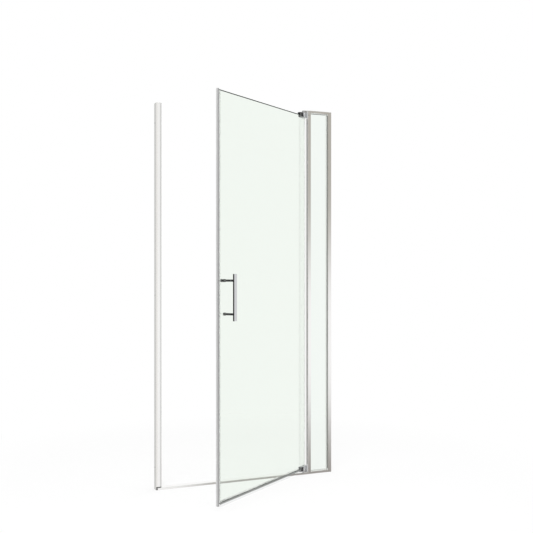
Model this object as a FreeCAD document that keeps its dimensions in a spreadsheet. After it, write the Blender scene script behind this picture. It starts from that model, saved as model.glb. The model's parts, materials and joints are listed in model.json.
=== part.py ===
import FreeCAD, Part
import os
import re
import Sketcher

# Pivot shower door with an inline fixed panel, in millimetres and degrees.
# +X runs along the opening, from the strike jamb to the fixed panel; +Y points into the shower; +Z is up.
# The origin lies on the curb, half way between the two walls, in the middle plane of the glass.

SIZES = {
    # The whole frame
    "frame_width": 914.0,  # wall to wall
    "frame_height": 1829.0,  # curb to the top of the fixed panel
    "frame_depth": 34.0,  # front to back of the uprights
    "glass_thickness": 6.0,
    "glass_arris": 1.5,  # ground bevel along the edges of the leaf glass
    "open_angle": 35.0,  # how far the leaf stands open
    "cut_overrun": 4.0,  # how far a cut runs past the face it opens
    "upright_edge_radius": 1.2,
    "cap_thickness": 2.0,
    "cap_plug_length": 6.0,
    "cap_plug_clearance": 0.2,
    "screw_clearance": 0.1,  # hole to screw, on the radius
    # Wall channels and what slides in them
    "channel_wall": 1.8,
    "flange_ease": 0.4,  # how far the flanges draw in towards the wall
    "flange_ease_width": 8.0,
    "strike_channel_width": 20.0,
    "panel_channel_width": 14.0,
    "slide_clearance": 0.3,  # channel to the post nested in it
    "wall_hole_radius": 3.0,
    "wall_hole_low": 104.0,  # curb to the lowest wall screw
    "wall_hole_drop": 94.0,  # jamb top down to the highest wall screw
    "screw_head_room": 6.0,  # wall face to the back of the nested post
    # Strike jamb
    "jamb_drop": 19.5,  # top of the fixed panel down to the top of the jamb
    "jamb_corner_radius": 3.0,
    "strike_reach": 27.2,  # wall face to strike face
    "post_wall": 1.6,  # wall of the hollow posts
    "strike_edge_radius": 1.2,
    "magnet_groove_width": 9.0,
    "magnet_groove_depth": 3.2,
    "magnet_clearance": 0.2,
    "stop_lip_reach": 5.0,
    "stop_lip_offset": 7.0,  # middle plane to the lip that stops the leaf
    "foot_height": 5.0,
    "foot_inset": 1.0,
    # Sill
    "sill_height": 10.0,
    "sill_wall": 1.6,
    "sill_edge_radius": 1.2,
    "sill_inset": 8.5,  # wall face to the end of the sill
    # Fixed panel
    "panel_reach": 19.6,  # wall face to the edge of the panel's opening
    "daylight_width": 95.2,  # opening between the two posts of the panel
    "post_width": 17.0,
    "rail_height": 12.0,
    "vinyl_wall": 1.5,
    "vinyl_reveal": 1.0,  # how far the glazing vinyl shows beside the frame
    "glass_bite": 6.5,  # how far the panel glass enters the frame
    # Pivots
    "pivot_setback": 15.0,  # hinge post to pivot axis
    "arm_half_width": 10.0,
    "top_arm_thickness": 10.5,
    "bottom_arm_thickness": 6.0,
    "arm_bevel": 1.2,
    "flange_thickness": 2.5,
    "pivot_gap": 2.0,  # arm to clamp
    "running_gap": 0.3,  # bush flange to clamp
    "pin_radius": 4.0,
    "pin_bevel": 0.6,
    "pin_end_gap": 0.5,
    "running_clearance": 0.05,  # pin to bush, on the radius
    "fit_clearance": 0.05,  # seated round pieces, on the radius
    "bush_radius": 6.0,
    "bush_flange_radius": 8.5,
    "top_bush_length": 8.0,
    "tongue_half_width": 8.0,  # tongue of a bracket, through a window in the hinge post
    "tongue_height": 16.0,
    "tongue_clearance": 0.15,
    "face_screw_drop": 13.5,  # arm face to the screw through the tongue
    "face_screw_radius": 1.75,
    "face_screw_grip": 7.0,  # how far the screw enters the tongue
    "face_head_radius": 3.5,
    "face_head_height": 2.0,
    # Clamps on the leaf
    "clamp_length": 43.0,  # pivot axis to the free end
    "clamp_height": 24.0,
    "clamp_half": 10.5,  # half thickness, and the radius of the knuckle
    "clamp_cover": 11.5,  # clamp face to the edge of the glass
    "clamp_corner_radius": 1.2,
    "clamp_bevel": 0.8,
    "clamp_taper": 2.0,  # how far the outer face draws in towards the free end
    "clamp_taper_start": 20.0,  # pivot axis to where it begins
    "clamp_end_wall": 2.3,  # knuckle wall behind the glass
    "gasket_wall": 1.0,
    "pin_seat": 9.0,
    "clamp_screw_first": 14.0,  # pivot axis to the first clamp screw
    "clamp_screw_pitch": 19.0,
    "clamp_screw_drop": 5.5,  # clamp face to the screws
    "clamp_screw_radius": 2.0,
    "clamp_screw_grip": 6.0,  # how far the screws enter the outer half
    "clamp_head_radius": 3.5,
    "clamp_head_height": 3.0,
    "head_sink": 0.6,  # screw heads below the face of the clamp
    # Leaf glass and its seals
    "glass_end_gap": 1.2,  # hinge edge of the glass to the end of the slot in a clamp
    "closing_gap": 1.5,  # strike face to the closed leaf
    "seal_lip": 1.2,  # wall of the seals where they grip the glass
    "seal_grip": 9.0,
    "seal_bulb": 12.0,  # strike seal beyond the glass
    "bulb_half": 5.2,
    "bulb_wall": 1.2,
    "seal_drop": 12.0,  # strike seal below the glass
    "seal_rise": 2.5,  # strike seal above the glass
    "bulb_magnet_clearance": 0.2,
    "hinge_seal_gap": 1.4,  # hinge seal to hinge post
    "hinge_seal_base": 1.5,
    "fin_thickness": 1.4,
    "sweep_web": 4.5,
    "sweep_clearance": 1.0,  # sweep to sill
    "drip_reach": 8.0,
    "drip_fall": 6.0,
    "seal_end_gap": 0.3,
    # Handle
    "handle_height": 911.0,  # curb to the middle of the bar
    "handle_inset": 51.5,  # tip of the leaf to the handle
    "handle_pitch": 145.0,
    "bar_length": 203.0,
    "bar_width": 20.0,
    "bar_thickness": 7.5,
    "bar_bevel": 0.5,
    "standoff_length": 50.8,  # glass to the back of the bar
    "standoff_radius": 5.25,
    "standoff_base_radius": 6.8,
    "standoff_base_height": 4.0,
    "standoff_taper": 1.5,
    "socket_depth": 2.0,
    "stud_radius": 2.5,
    "stud_in_standoff": 12.0,
    "stud_in_knob": 5.5,
    "stud_end_gap": 0.5,
    "glass_hole_radius": 6.0,
    "sleeve_clearance": 0.2,
    "bush_rim_radius": 6.8,
    "bush_rim_thickness": 1.0,
    "knob_length": 18.0,
    "knob_neck_radius": 6.5,
    "knob_head_radius": 7.5,
    "cap_nut_length": 7.5,
    "cap_nut_radius": 7.0,
    "knob_bevel": 1.2,
}

PLACES = {
    # Halves and shared heights
    "half_width": "frame_width / 2",
    "half_depth": "frame_depth / 2",
    "half_glass": "glass_thickness / 2",
    "jamb_top": "frame_height - jamb_drop",
    "jamb_bottom": "sill_height + foot_height",
    "wall_hole_pitch": "(jamb_top - wall_hole_drop - wall_hole_low) / 2",
    "nested_half": "half_depth - channel_wall - slide_clearance",
    "nested_end": "panel_channel_width + slide_clearance",
    # Fixed panel
    "post_top": "frame_height - cap_thickness",
    "groove_half": "half_glass + vinyl_wall",
    "groove_depth": "glass_bite + vinyl_wall",
    "panel_half_width": "daylight_width / 2",
    "panel_half_height": "frame_height / 2 - rail_height",
    "panel_middle": "half_width - panel_reach - panel_half_width",
    "post_left": "panel_middle - panel_half_width - post_width",
    "chamber_width": "post_width - groove_depth - 2 * post_wall",
    # Pivots
    "pivot_place": "post_left - pivot_setback",
    "top_arm_face": "frame_height - top_arm_thickness",
    "bottom_arm_face": "sill_height + bottom_arm_thickness",
    "top_clamp_face": "top_arm_face - pivot_gap",
    "bottom_clamp_face": "bottom_arm_face + pivot_gap",
    "flange_height": "pivot_gap + clamp_height",
    "face_screw_inset": "post_wall + chamber_width / 2",
    "face_screw_length": "half_depth - tongue_half_width + face_screw_grip",
    # Leaf
    "glass_top": "top_clamp_face - clamp_cover",
    "glass_bottom": "bottom_clamp_face + clamp_cover",
    "leaf_reach": "pivot_place + half_width - strike_reach - closing_gap",
    "glass_reach": "leaf_reach - seal_bulb",
    "slot_half": "half_glass + gasket_wall",
    "slot_end": "clamp_half - clamp_end_wall",
    "glass_tail": "slot_end - glass_end_gap",
    "counterbore": "clamp_head_height + head_sink",
    "lip_half": "half_glass + seal_lip",
    "half_fin": "fin_thickness / 2",
    "sweep_floor": "glass_bottom - sweep_web",
    "fin_end": "sill_height + sweep_clearance",
    "handle_reach": "leaf_reach - handle_inset",
    "bush_face": "half_glass + bush_rim_thickness",
    "stud_bore": "stud_radius + screw_clearance",
    "knob_bore_depth": "stud_in_knob + stud_end_gap",
}

WORD = re.compile(r"[a-z][a-z_]*(?![a-z_(])")
NEARLY_ALONG = 0.999  # cosine past which an edge counts as parallel to an axis
TOUCHING = 0.01  # nearer than this, two places are the same
FULL_TURN = 360
HALF_TURN = 180

doc = FreeCAD.newDocument("ShowerDoor")
sheet = doc.addObject("Spreadsheet::Sheet", "Sizes")
places = doc.addObject("App::VarSet", "Places")
bodies = []


def formula(text):
    """Write a sum of named sizes and places as an expression of this document."""

    def owned(word):
        owner = "Sizes." if word.group() in SIZES else "Places."
        return owner + word.group()

    return WORD.sub(owned, text)


def value(text):
    """The present value of a sum of named sizes and places."""
    return float(sheet.evalExpression(formula(text)))


def fill_sheet():
    """Put the driving sizes in the sheet and bind the places that follow from them."""
    for row, (name, size) in enumerate(SIZES.items(), start=1):
        sheet.set("A%d" % row, name)
        sheet.set("B%d" % row, str(size))
        sheet.setAlias("B%d" % row, name)
    doc.recompute()
    for name, text in PLACES.items():
        places.addProperty("App::PropertyFloat", name)
        places.setExpression(name, formula(text))
    doc.recompute()


def hold(sketch, geometry, point, place):
    """Bind one point of a sketch to its place, measured from the sketch's origin."""
    for kind, text in zip(("DistanceX", "DistanceY"), place):
        index = sketch.addConstraint(Sketcher.Constraint(kind, -1, 1, geometry, point, value(text)))
        sketch.setExpression("Constraints[%d]" % index, formula(text))


def polygon(sketch, corners):
    """A closed outline of straight sides."""
    first = sketch.GeometryCount
    count = len(corners)
    points = [FreeCAD.Vector(value(across), value(along), 0) for across, along in corners]
    for side in range(count):
        sketch.addGeometry(Part.LineSegment(points[side], points[(side + 1) % count]), False)
    for side in range(count):
        following = first + (side + 1) % count
        sketch.addConstraint(Sketcher.Constraint("Coincident", first + side, 2, following, 1))
    for side, corner in enumerate(corners):
        hold(sketch, first + side, 1, corner)


def rectangle(sketch, low, high):
    """A rectangle between two opposite corners."""
    polygon(sketch, [low, (high[0], low[1]), high, (low[0], high[1])])


def circle(sketch, centre, radius):
    """A full circle."""
    index = sketch.GeometryCount
    middle = FreeCAD.Vector(value(centre[0]), value(centre[1]), 0)
    sketch.addGeometry(Part.Circle(middle, FreeCAD.Vector(0, 0, 1), value(radius)), False)
    size = sketch.addConstraint(Sketcher.Constraint("Radius", index, value(radius)))
    sketch.setExpression("Constraints[%d]" % size, formula(radius))
    hold(sketch, index, 3, centre)


def runs_along(edge, axis):
    """Whether an edge is straight and parallel to the x, y or z axis."""
    straight = edge.Curve.TypeId == "Part::GeomLine"
    return straight and abs(getattr(edge.Curve.Direction, axis)) > NEARLY_ALONG


def lies_at(edge, axis, text):
    """Whether the middle of an edge lies at a place on an axis."""
    return abs(getattr(edge.CenterOfMass, axis) - value(text)) < TOUCHING


class Piece:
    """One sub-part: a body that grows feature by feature."""

    def __init__(self, label):
        self.body = doc.addObject("PartDesign::Body", label)
        self.body.Label = label
        bodies.append(self.body)

    def origin(self, role):
        return next(item for item in self.body.Origin.OriginFeatures if item.Role == role)

    def sketch(self, plane, offset="0"):
        """A sketch on one of the body's own planes, lifted along the plane's normal."""
        sketch = self.body.newObject("Sketcher::SketchObject", "Outline")
        sketch.AttachmentSupport = [(self.origin(plane), "")]
        sketch.MapMode = "FlatFace"
        sketch.setExpression("AttachmentOffset.Base.z", formula(offset))
        return sketch

    def pad(self, sketch, length, side="up"):
        """Add material above the sketch, below it or evenly on both sides."""
        pad = self.body.newObject("PartDesign::Pad", "Pad")
        pad.Profile = sketch
        pad.setExpression("Length", formula(length))
        pad.Reversed = side == "down"
        pad.SideType = "Symmetric" if side == "both" else "One side"
        doc.recompute()

    def cut(self, sketch, depth):
        """Take material away to the same depth on both sides of the sketch."""
        before = self.body.Shape.Volume
        pocket = self.body.newObject("PartDesign::Pocket", "Cut")
        pocket.Profile = sketch
        pocket.SideType = "Symmetric"
        pocket.setExpression("Length", formula("2 * (%s)" % depth))
        doc.recompute()
        if not self.body.Shape.Volume < before:
            raise RuntimeError("a cut in %s removed nothing" % self.body.Label)

    def drill(self, plane, offset, centres, radius, depth):
        """Round holes of one size, to the same depth on both sides of a plane."""
        sketch = self.sketch(plane, offset)
        for centre in centres:
            circle(sketch, centre, radius)
        self.cut(sketch, depth)

    def spin(self, axis, *profiles):
        """A turned shape: each profile lists its (radius, place along the axis) corners."""
        sketch = self.sketch("XZ_Plane" if axis == "Z" else "XY_Plane")
        for profile in profiles:
            corners = [corner[::-1] for corner in profile] if axis == "X" else profile
            polygon(sketch, corners)
        turned = self.body.newObject("PartDesign::Revolution", "Turned")
        turned.Profile = sketch
        turned.ReferenceAxis = (sketch, ["H_Axis" if axis == "X" else "V_Axis"])
        turned.Angle = FULL_TURN
        doc.recompute()

    def soften(self, radius, test):
        """Round the edges that pass a test."""
        base = self.body.Tip
        names = ["Edge%d" % (n + 1) for n, edge in enumerate(base.Shape.Edges) if test(edge)]
        fillet = self.body.newObject("PartDesign::Fillet", "Rounded")
        fillet.Base = (base, names)
        fillet.setExpression("Radius", formula(radius))
        doc.recompute()

    def bevel(self, size, test):
        """Chamfer the edges that pass a test."""
        base = self.body.Tip
        names = ["Edge%d" % (n + 1) for n, edge in enumerate(base.Shape.Edges) if test(edge)]
        chamfer = self.body.newObject("PartDesign::Chamfer", "Bevel")
        chamfer.Base = (base, names)
        chamfer.setExpression("Size", formula(size))
        doc.recompute()

    def repeat(self, *rows):
        """Repeat the last feature in rows along axes, each (axis, length of the row, count)."""
        original = self.body.Tip
        grid = self.body.newObject("PartDesign::MultiTransform", "Repeated")
        grid.Originals = [original]
        steps = []
        for axis, length, count in rows:
            row = self.body.newObject("PartDesign::LinearPattern", "Row")
            row.Direction = (self.origin(axis), [""])
            row.setExpression("Length", formula(length))
            row.Occurrences = count
            steps.append(row)
        grid.Transformations = steps
        self.body.Tip = grid
        doc.recompute()

    def stand(self, x="0", y="0", z="0", turn=0, flip=0):
        """Place a piece of the frame: turned about the upright, or flipped about the long axis first."""
        spot = formula("vector(%s; %s; %s)" % (x, y, z))
        turning = "rotation(vector(0; 0; 1); %d) * rotation(vector(1; 0; 0); %d)" % (turn, flip)
        self.body.setExpression("Placement", "placement(%s; %s)" % (spot, turning))

    def hang(self, x="0", y="0", z="0", flip=0):
        """Place a piece of the leaf, given where it lies from the pivot axis when the leaf is shut."""
        pivot = formula("placement(vector(pivot_place; 0; 0); rotation(vector(0; 0; 1); open_angle))")
        spot = formula("vector(%s; %s; %s)" % (x, y, z))
        flipping = "rotation(vector(1; 0; 0); %d)" % flip
        self.body.setExpression("Placement", "%s * placement(%s; %s)" % (pivot, spot, flipping))


def is_upright(edge):
    return runs_along(edge, "z")


def screw(label, axis, radius, length, head_radius, head_height):
    """A plain screw: its shank runs along +axis from the face that its head sits on."""
    piece = Piece(label)
    piece.spin(axis, [
        ("0", length),
        (radius, length),
        (radius, "0"),
        (head_radius, "0"),
        (head_radius, "-%s" % head_height),
        ("0", "-%s" % head_height),
    ])
    return piece


# The strike jamb and the wall channels


def wall_channel(label, width, top):
    """A U channel screwed to the wall, its mouth towards the opening and its flanges eased off behind."""
    piece = Piece(label)
    section = piece.sketch("XY_Plane")
    polygon(section, [
        ("0", "flange_ease - half_depth"),
        ("flange_ease_width", "-half_depth"),
        (width, "-half_depth"),
        (width, "channel_wall - half_depth"),
        ("channel_wall", "channel_wall - half_depth"),
        ("channel_wall", "half_depth - channel_wall"),
        (width, "half_depth - channel_wall"),
        (width, "half_depth"),
        ("flange_ease_width", "half_depth"),
        ("0", "half_depth - flange_ease"),
    ])
    piece.pad(section, top)
    piece.soften("upright_edge_radius", lambda edge: is_upright(edge) and lies_at(edge, "x", "0"))
    wall_holes = [("0", "wall_hole_low + %d * wall_hole_pitch" % n) for n in range(3)]
    piece.drill("YZ_Plane", "0", wall_holes, "wall_hole_radius", "channel_wall + cut_overrun")
    return piece


def wall_channels():
    """Both wall channels; the flanges of the left one are notched over the foot and the sill."""
    left = wall_channel("left_wall_channel", "strike_channel_width", "jamb_top - cap_thickness")
    notch = left.sketch("XZ_Plane")
    rectangle(notch, ("channel_wall", "-cut_overrun"), ("strike_channel_width + cut_overrun", "jamb_bottom"))
    left.cut(notch, "half_depth + cut_overrun")
    left.stand(x="-half_width")
    right = wall_channel("right_wall_channel", "panel_channel_width", "post_top")
    right.stand(x="half_width", turn=HALF_TURN)


def strike_post():
    """The hollow post that slides in the left channel, with a magnet groove and a stop lip."""
    piece = Piece("strike_post")
    groove = "magnet_groove_width / 2"
    floor = "strike_reach - magnet_groove_depth"
    lip_back = "stop_lip_offset + post_wall"
    section = piece.sketch("XY_Plane")
    polygon(section, [
        ("screw_head_room", "-nested_half"),
        ("strike_reach", "-nested_half"),
        ("strike_reach", "-%s" % groove),
        (floor, "-%s" % groove),
        (floor, groove),
        ("strike_reach", groove),
        ("strike_reach", "stop_lip_offset"),
        ("strike_reach + stop_lip_reach", "stop_lip_offset"),
        ("strike_reach + stop_lip_reach", lip_back),
        ("strike_reach", lip_back),
        ("strike_reach", "nested_half"),
        ("screw_head_room", "nested_half"),
    ])
    c_chamber(section, "screw_head_room", "strike_reach", "nested_half", groove, "magnet_groove_depth")
    piece.pad(section, "jamb_top - cap_thickness - jamb_bottom")
    piece.soften("strike_edge_radius", is_front_strike_edge)
    piece.stand(x="-half_width", z="jamb_bottom")


def is_front_strike_edge(edge):
    outer = lies_at(edge, "y", "-nested_half") or lies_at(edge, "y", "nested_half")
    return is_upright(edge) and outer and lies_at(edge, "x", "strike_reach")


def c_chamber(section, back, face, half, groove, depth):
    """The hollow of a post, bent round the groove in its face."""
    polygon(section, [
        ("%s + post_wall" % back, "post_wall - %s" % half),
        ("%s - post_wall" % face, "post_wall - %s" % half),
        ("%s - post_wall" % face, "-(%s) - post_wall" % groove),
        ("%s - %s - post_wall" % (face, depth), "-(%s) - post_wall" % groove),
        ("%s - %s - post_wall" % (face, depth), "%s + post_wall" % groove),
        ("%s - post_wall" % face, "%s + post_wall" % groove),
        ("%s - post_wall" % face, "%s - post_wall" % half),
        ("%s + post_wall" % back, "%s - post_wall" % half),
    ])


def strike_magnet():
    """The magnetic strip pressed in the groove of the strike post."""
    piece = Piece("strike_magnet")
    section = piece.sketch("XY_Plane")
    half = "magnet_groove_width / 2 - magnet_clearance"
    low = ("strike_reach - magnet_groove_depth", "-(%s)" % half)
    rectangle(section, low, ("strike_reach - magnet_clearance", half))
    piece.pad(section, "jamb_top - cap_thickness - jamb_bottom")
    piece.stand(x="-half_width", z="jamb_bottom")


def top_cap(label, width, corner_radius, plug_low, plug_high):
    """A moulded cap on an upright, with a plug that enters the hollow below it."""
    piece = Piece(label)
    plate = piece.sketch("XY_Plane")
    rectangle(plate, ("0", "-half_depth"), (width, "half_depth"))
    piece.pad(plate, "cap_thickness")
    piece.soften(corner_radius, is_upright)
    plug = piece.sketch("XY_Plane")
    rectangle(plug, plug_low, plug_high)
    piece.pad(plug, "cap_plug_length", "down")
    return piece


def caps():
    """The caps of the strike jamb, the hinge post and the wall side of the panel."""
    inner = "(post_wall + cap_plug_clearance)"
    low = ("screw_head_room + %s" % inner, "%s - nested_half" % inner)
    high = ("strike_reach - magnet_groove_depth - %s" % inner, "nested_half - %s" % inner)
    top_cap("jamb_cap", "strike_reach", "jamb_corner_radius", low, high).stand(
        x="-half_width", z="jamb_top - cap_thickness")
    low = (inner, "%s - half_depth" % inner)
    high = ("post_wall + chamber_width - cap_plug_clearance", "half_depth - %s" % inner)
    top_cap("hinge_post_cap", "post_width", "upright_edge_radius", low, high).stand(
        x="post_left", z="post_top")
    side = "groove_half + %s" % inner
    low = ("screw_head_room + %s" % inner, side)
    high = ("panel_reach - %s" % inner, "nested_half - %s" % inner)
    top_cap("wall_post_cap", "panel_reach", "upright_edge_radius", low, high).stand(
        x="half_width", z="post_top", turn=HALF_TURN)


def jamb_foot():
    """The dark pad under the strike jamb, with a leg between the channel's web and the sill's end."""
    piece = Piece("jamb_foot")
    block = piece.sketch("XY_Plane", "sill_height")
    rectangle(block, ("channel_wall", "foot_inset - half_depth"),
              ("strike_reach - foot_inset", "half_depth - foot_inset"))
    piece.pad(block, "foot_height")
    leg = piece.sketch("XY_Plane")
    rectangle(leg, ("channel_wall", "foot_inset - half_depth"), ("sill_inset", "half_depth - foot_inset"))
    piece.pad(leg, "sill_height")
    piece.bevel("foot_inset", is_upright)
    piece.stand(x="-half_width")


def sill():
    """The low hollow bar on the curb, from the strike jamb to the hinge post."""
    piece = Piece("sill")
    section = piece.sketch("YZ_Plane")
    rectangle(section, ("-half_depth", "0"), ("half_depth", "sill_height"))
    side = "half_depth - sill_wall"
    roof = "sill_height - sill_wall"
    rectangle(section, ("-(%s)" % side, "sill_wall"), (side, roof))
    piece.pad(section, "post_left + half_width - sill_inset")

    def is_top_edge(edge):
        outer = lies_at(edge, "y", "half_depth") or lies_at(edge, "y", "-half_depth")
        return runs_along(edge, "x") and outer and lies_at(edge, "z", "sill_height")

    piece.soften("sill_edge_radius", is_top_edge)
    piece.stand(x="sill_inset - half_width")


# The fixed panel


def is_outer_post_edge(edge):
    return is_upright(edge) and (lies_at(edge, "y", "half_depth") or lies_at(edge, "y", "-half_depth"))


def hinge_post():
    """The hollow post that carries the pivots, grooved for the panel glass."""
    piece = Piece("hinge_post")
    section = piece.sketch("XY_Plane")
    polygon(section, [
        ("0", "-half_depth"),
        ("post_width", "-half_depth"),
        ("post_width", "-groove_half"),
        ("post_width - groove_depth", "-groove_half"),
        ("post_width - groove_depth", "groove_half"),
        ("post_width", "groove_half"),
        ("post_width", "half_depth"),
        ("0", "half_depth"),
    ])
    c_chamber(section, "0", "post_width", "half_depth", "groove_half", "groove_depth")
    piece.pad(section, "post_top")
    piece.soften("upright_edge_radius", is_outer_post_edge)
    heights = ("bottom_arm_face + face_screw_drop", "top_arm_face - face_screw_drop")
    windows = piece.sketch("YZ_Plane")
    wide = "tongue_half_width + tongue_clearance"
    tall = "tongue_height / 2 + tongue_clearance"
    for height in heights:
        lower_corner = ("-(%s)" % wide, "%s - (%s)" % (height, tall))
        upper_corner = (wide, "%s + %s" % (height, tall))
        rectangle(windows, lower_corner, upper_corner)
    piece.cut(windows, "2 * post_wall")
    face_holes = [("face_screw_inset", height) for height in heights]
    piece.drill("XZ_Plane", "half_depth", face_holes, "face_screw_radius + screw_clearance", "2 * post_wall")
    piece.stand(x="post_left")


def wall_post():
    """The panel's post at the wall: its back part is nested in the right channel."""
    piece = Piece("wall_post")
    floor = "panel_reach - groove_depth"
    section = piece.sketch("XY_Plane")
    polygon(section, [
        ("screw_head_room", "-nested_half"),
        ("nested_end", "-nested_half"),
        ("nested_end", "-half_depth"),
        ("panel_reach", "-half_depth"),
        ("panel_reach", "-groove_half"),
        (floor, "-groove_half"),
        (floor, "groove_half"),
        ("panel_reach", "groove_half"),
        ("panel_reach", "half_depth"),
        ("nested_end", "half_depth"),
        ("nested_end", "nested_half"),
        ("screw_head_room", "nested_half"),
    ])
    back = "screw_head_room + post_wall"
    face = "panel_reach - post_wall"
    rectangle(section, (back, "groove_half + post_wall"), (face, "nested_half - post_wall"))
    rectangle(section, (back, "post_wall - nested_half"), (face, "-groove_half - post_wall"))
    piece.pad(section, "post_top")
    piece.stand(x="half_width", turn=HALF_TURN)


def panel_rail(label, height, flip):
    """A grooved rail between the posts, hollow on both sides of its groove."""
    piece = Piece(label)
    section = piece.sketch("YZ_Plane")
    floor = "rail_height - groove_depth"
    polygon(section, [
        ("-half_depth", "0"),
        ("half_depth", "0"),
        ("half_depth", "rail_height"),
        ("groove_half", "rail_height"),
        ("groove_half", floor),
        ("-groove_half", floor),
        ("-groove_half", "rail_height"),
        ("-half_depth", "rail_height"),
    ])
    near = "groove_half + post_wall"
    far = "half_depth - post_wall"
    rectangle(section, (near, "post_wall"), (far, "rail_height - post_wall"))
    rectangle(section, ("-(%s)" % far, "post_wall"), ("-(%s)" % near, "rail_height - post_wall"))
    piece.pad(section, "daylight_width", "both")

    def is_outer_long_edge(edge):
        outer = lies_at(edge, "y", "half_depth") or lies_at(edge, "y", "-half_depth")
        return runs_along(edge, "x") and outer

    piece.soften("upright_edge_radius", is_outer_long_edge)
    piece.stand(x="panel_middle", z=height, flip=flip)


def panel_sheet(sketch, margin):
    """A rectangle that passes the opening of the fixed panel by a margin on every side."""
    wide = "panel_half_width + %s" % margin
    tall = "panel_half_height + %s" % margin
    rectangle(sketch, ("-(%s)" % wide, "-(%s)" % tall), (wide, tall))


def panel_glass():
    """The fixed pane."""
    piece = Piece("panel_glass")
    outline = piece.sketch("XZ_Plane")
    panel_sheet(outline, "glass_bite")
    piece.pad(outline, "glass_thickness", "both")
    piece.stand(x="panel_middle", z="frame_height / 2")


def panel_glazing_vinyl():
    """The U-shaped vinyl that wraps the edge of the fixed pane and fills the grooves."""
    piece = Piece("panel_glazing_vinyl")
    ring = piece.sketch("XZ_Plane")
    panel_sheet(ring, "groove_depth")
    panel_sheet(ring, "-vinyl_reveal")
    piece.pad(ring, "2 * groove_half", "both")
    seat = piece.sketch("XZ_Plane")
    panel_sheet(seat, "glass_bite")
    piece.cut(seat, "half_glass")
    piece.stand(x="panel_middle", z="frame_height / 2")


# The pivots


def pivot_bracket(label, thickness, bush_length, height, flip):
    """A cast arm with a flange against the hinge post and a tongue into it for the face screw."""
    piece = Piece(label)
    arm = piece.sketch("XY_Plane")
    rectangle(arm, ("0", "-arm_half_width"), ("pivot_setback", "arm_half_width"))
    piece.pad(arm, thickness)
    nose = piece.sketch("XY_Plane")
    circle(nose, ("0", "0"), "arm_half_width")
    piece.pad(nose, thickness)

    def is_top_rim(edge):
        return lies_at(edge, "z", thickness) and not lies_at(edge, "x", "pivot_setback")

    piece.bevel("arm_bevel", is_top_rim)
    flange = piece.sketch("XY_Plane")
    rectangle(flange, ("pivot_setback - flange_thickness", "-arm_half_width"),
              ("pivot_setback", "arm_half_width"))
    piece.pad(flange, "flange_height", "down")
    tongue = piece.sketch("YZ_Plane", "pivot_setback")
    rectangle(tongue, ("-tongue_half_width", "-face_screw_drop - tongue_height / 2"),
              ("tongue_half_width", "tongue_height / 2 - face_screw_drop"))
    piece.pad(tongue, "post_wall + chamber_width - tongue_clearance")
    piece.drill("XY_Plane", "0", [("0", "0")], "bush_radius + fit_clearance", bush_length)
    side = -1 if flip else 1
    tapped = [("pivot_setback + face_screw_inset", "-face_screw_drop")]
    hole = "face_screw_radius + screw_clearance"
    depth = "face_screw_grip + screw_clearance"
    piece.drill("XZ_Plane", "%d * tongue_half_width" % side, tapped, hole, depth)
    piece.stand(x="pivot_place", z=height, flip=flip)


def pivot_bush(label, length, height, flip):
    """The flanged plastic bush in an arm; the clamp runs on its flange."""
    piece = Piece(label)
    bore = "pin_radius + running_clearance"
    face = "running_gap - pivot_gap"
    piece.spin("Z", [
        (bore, face),
        ("bush_flange_radius", face),
        ("bush_flange_radius", "0"),
        ("bush_radius", "0"),
        ("bush_radius", length),
        (bore, length),
    ])
    piece.stand(x="pivot_place", z=height, flip=flip)


def post_face_screws():
    """The round-headed screws on the front of the hinge post that hold the tongues of the brackets."""
    piece = screw("post_face_screws", "Y", "face_screw_radius", "face_screw_length",
                  "face_head_radius", "face_head_height")
    span = "top_arm_face - bottom_arm_face - 2 * face_screw_drop"
    piece.repeat(("Z_Axis", span, 2))
    piece.stand(x="post_left + face_screw_inset", y="-half_depth", z="bottom_arm_face + face_screw_drop")


def pivots():
    """Both fixed pivots: the lower one is the upper one flipped over."""
    top = ("top_arm_thickness", "top_bush_length", "top_arm_face", 0)
    bottom = ("bottom_arm_thickness", "bottom_arm_thickness", "bottom_arm_face", HALF_TURN)
    pivot_bracket("top_pivot_bracket", *top)
    pivot_bracket("bottom_pivot_bracket", *bottom)
    pivot_bush("top_pivot_bush", *top[1:])
    pivot_bush("bottom_pivot_bush", *bottom[1:])
    post_face_screws()


# The leaf: x runs from the pivot axis towards the hinge post, y into the shower, as when it is shut


def door_glass():
    """The swinging pane, drilled for the handle."""
    piece = Piece("door_glass")
    outline = piece.sketch("XZ_Plane")
    rectangle(outline, ("-glass_reach", "glass_bottom"), ("glass_tail", "glass_top"))
    for side in (-1, 1):
        hole = ("-handle_reach", "handle_height + %d * handle_pitch / 2" % side)
        circle(outline, hole, "glass_hole_radius")
    piece.pad(outline, "glass_thickness", "both")

    def is_face_rim(edge):
        on_face = lies_at(edge, "y", "half_glass") or lies_at(edge, "y", "-half_glass")
        return on_face and edge.Curve.TypeId == "Part::GeomLine"

    piece.bevel("glass_arris", is_face_rim)
    piece.hang()


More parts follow.
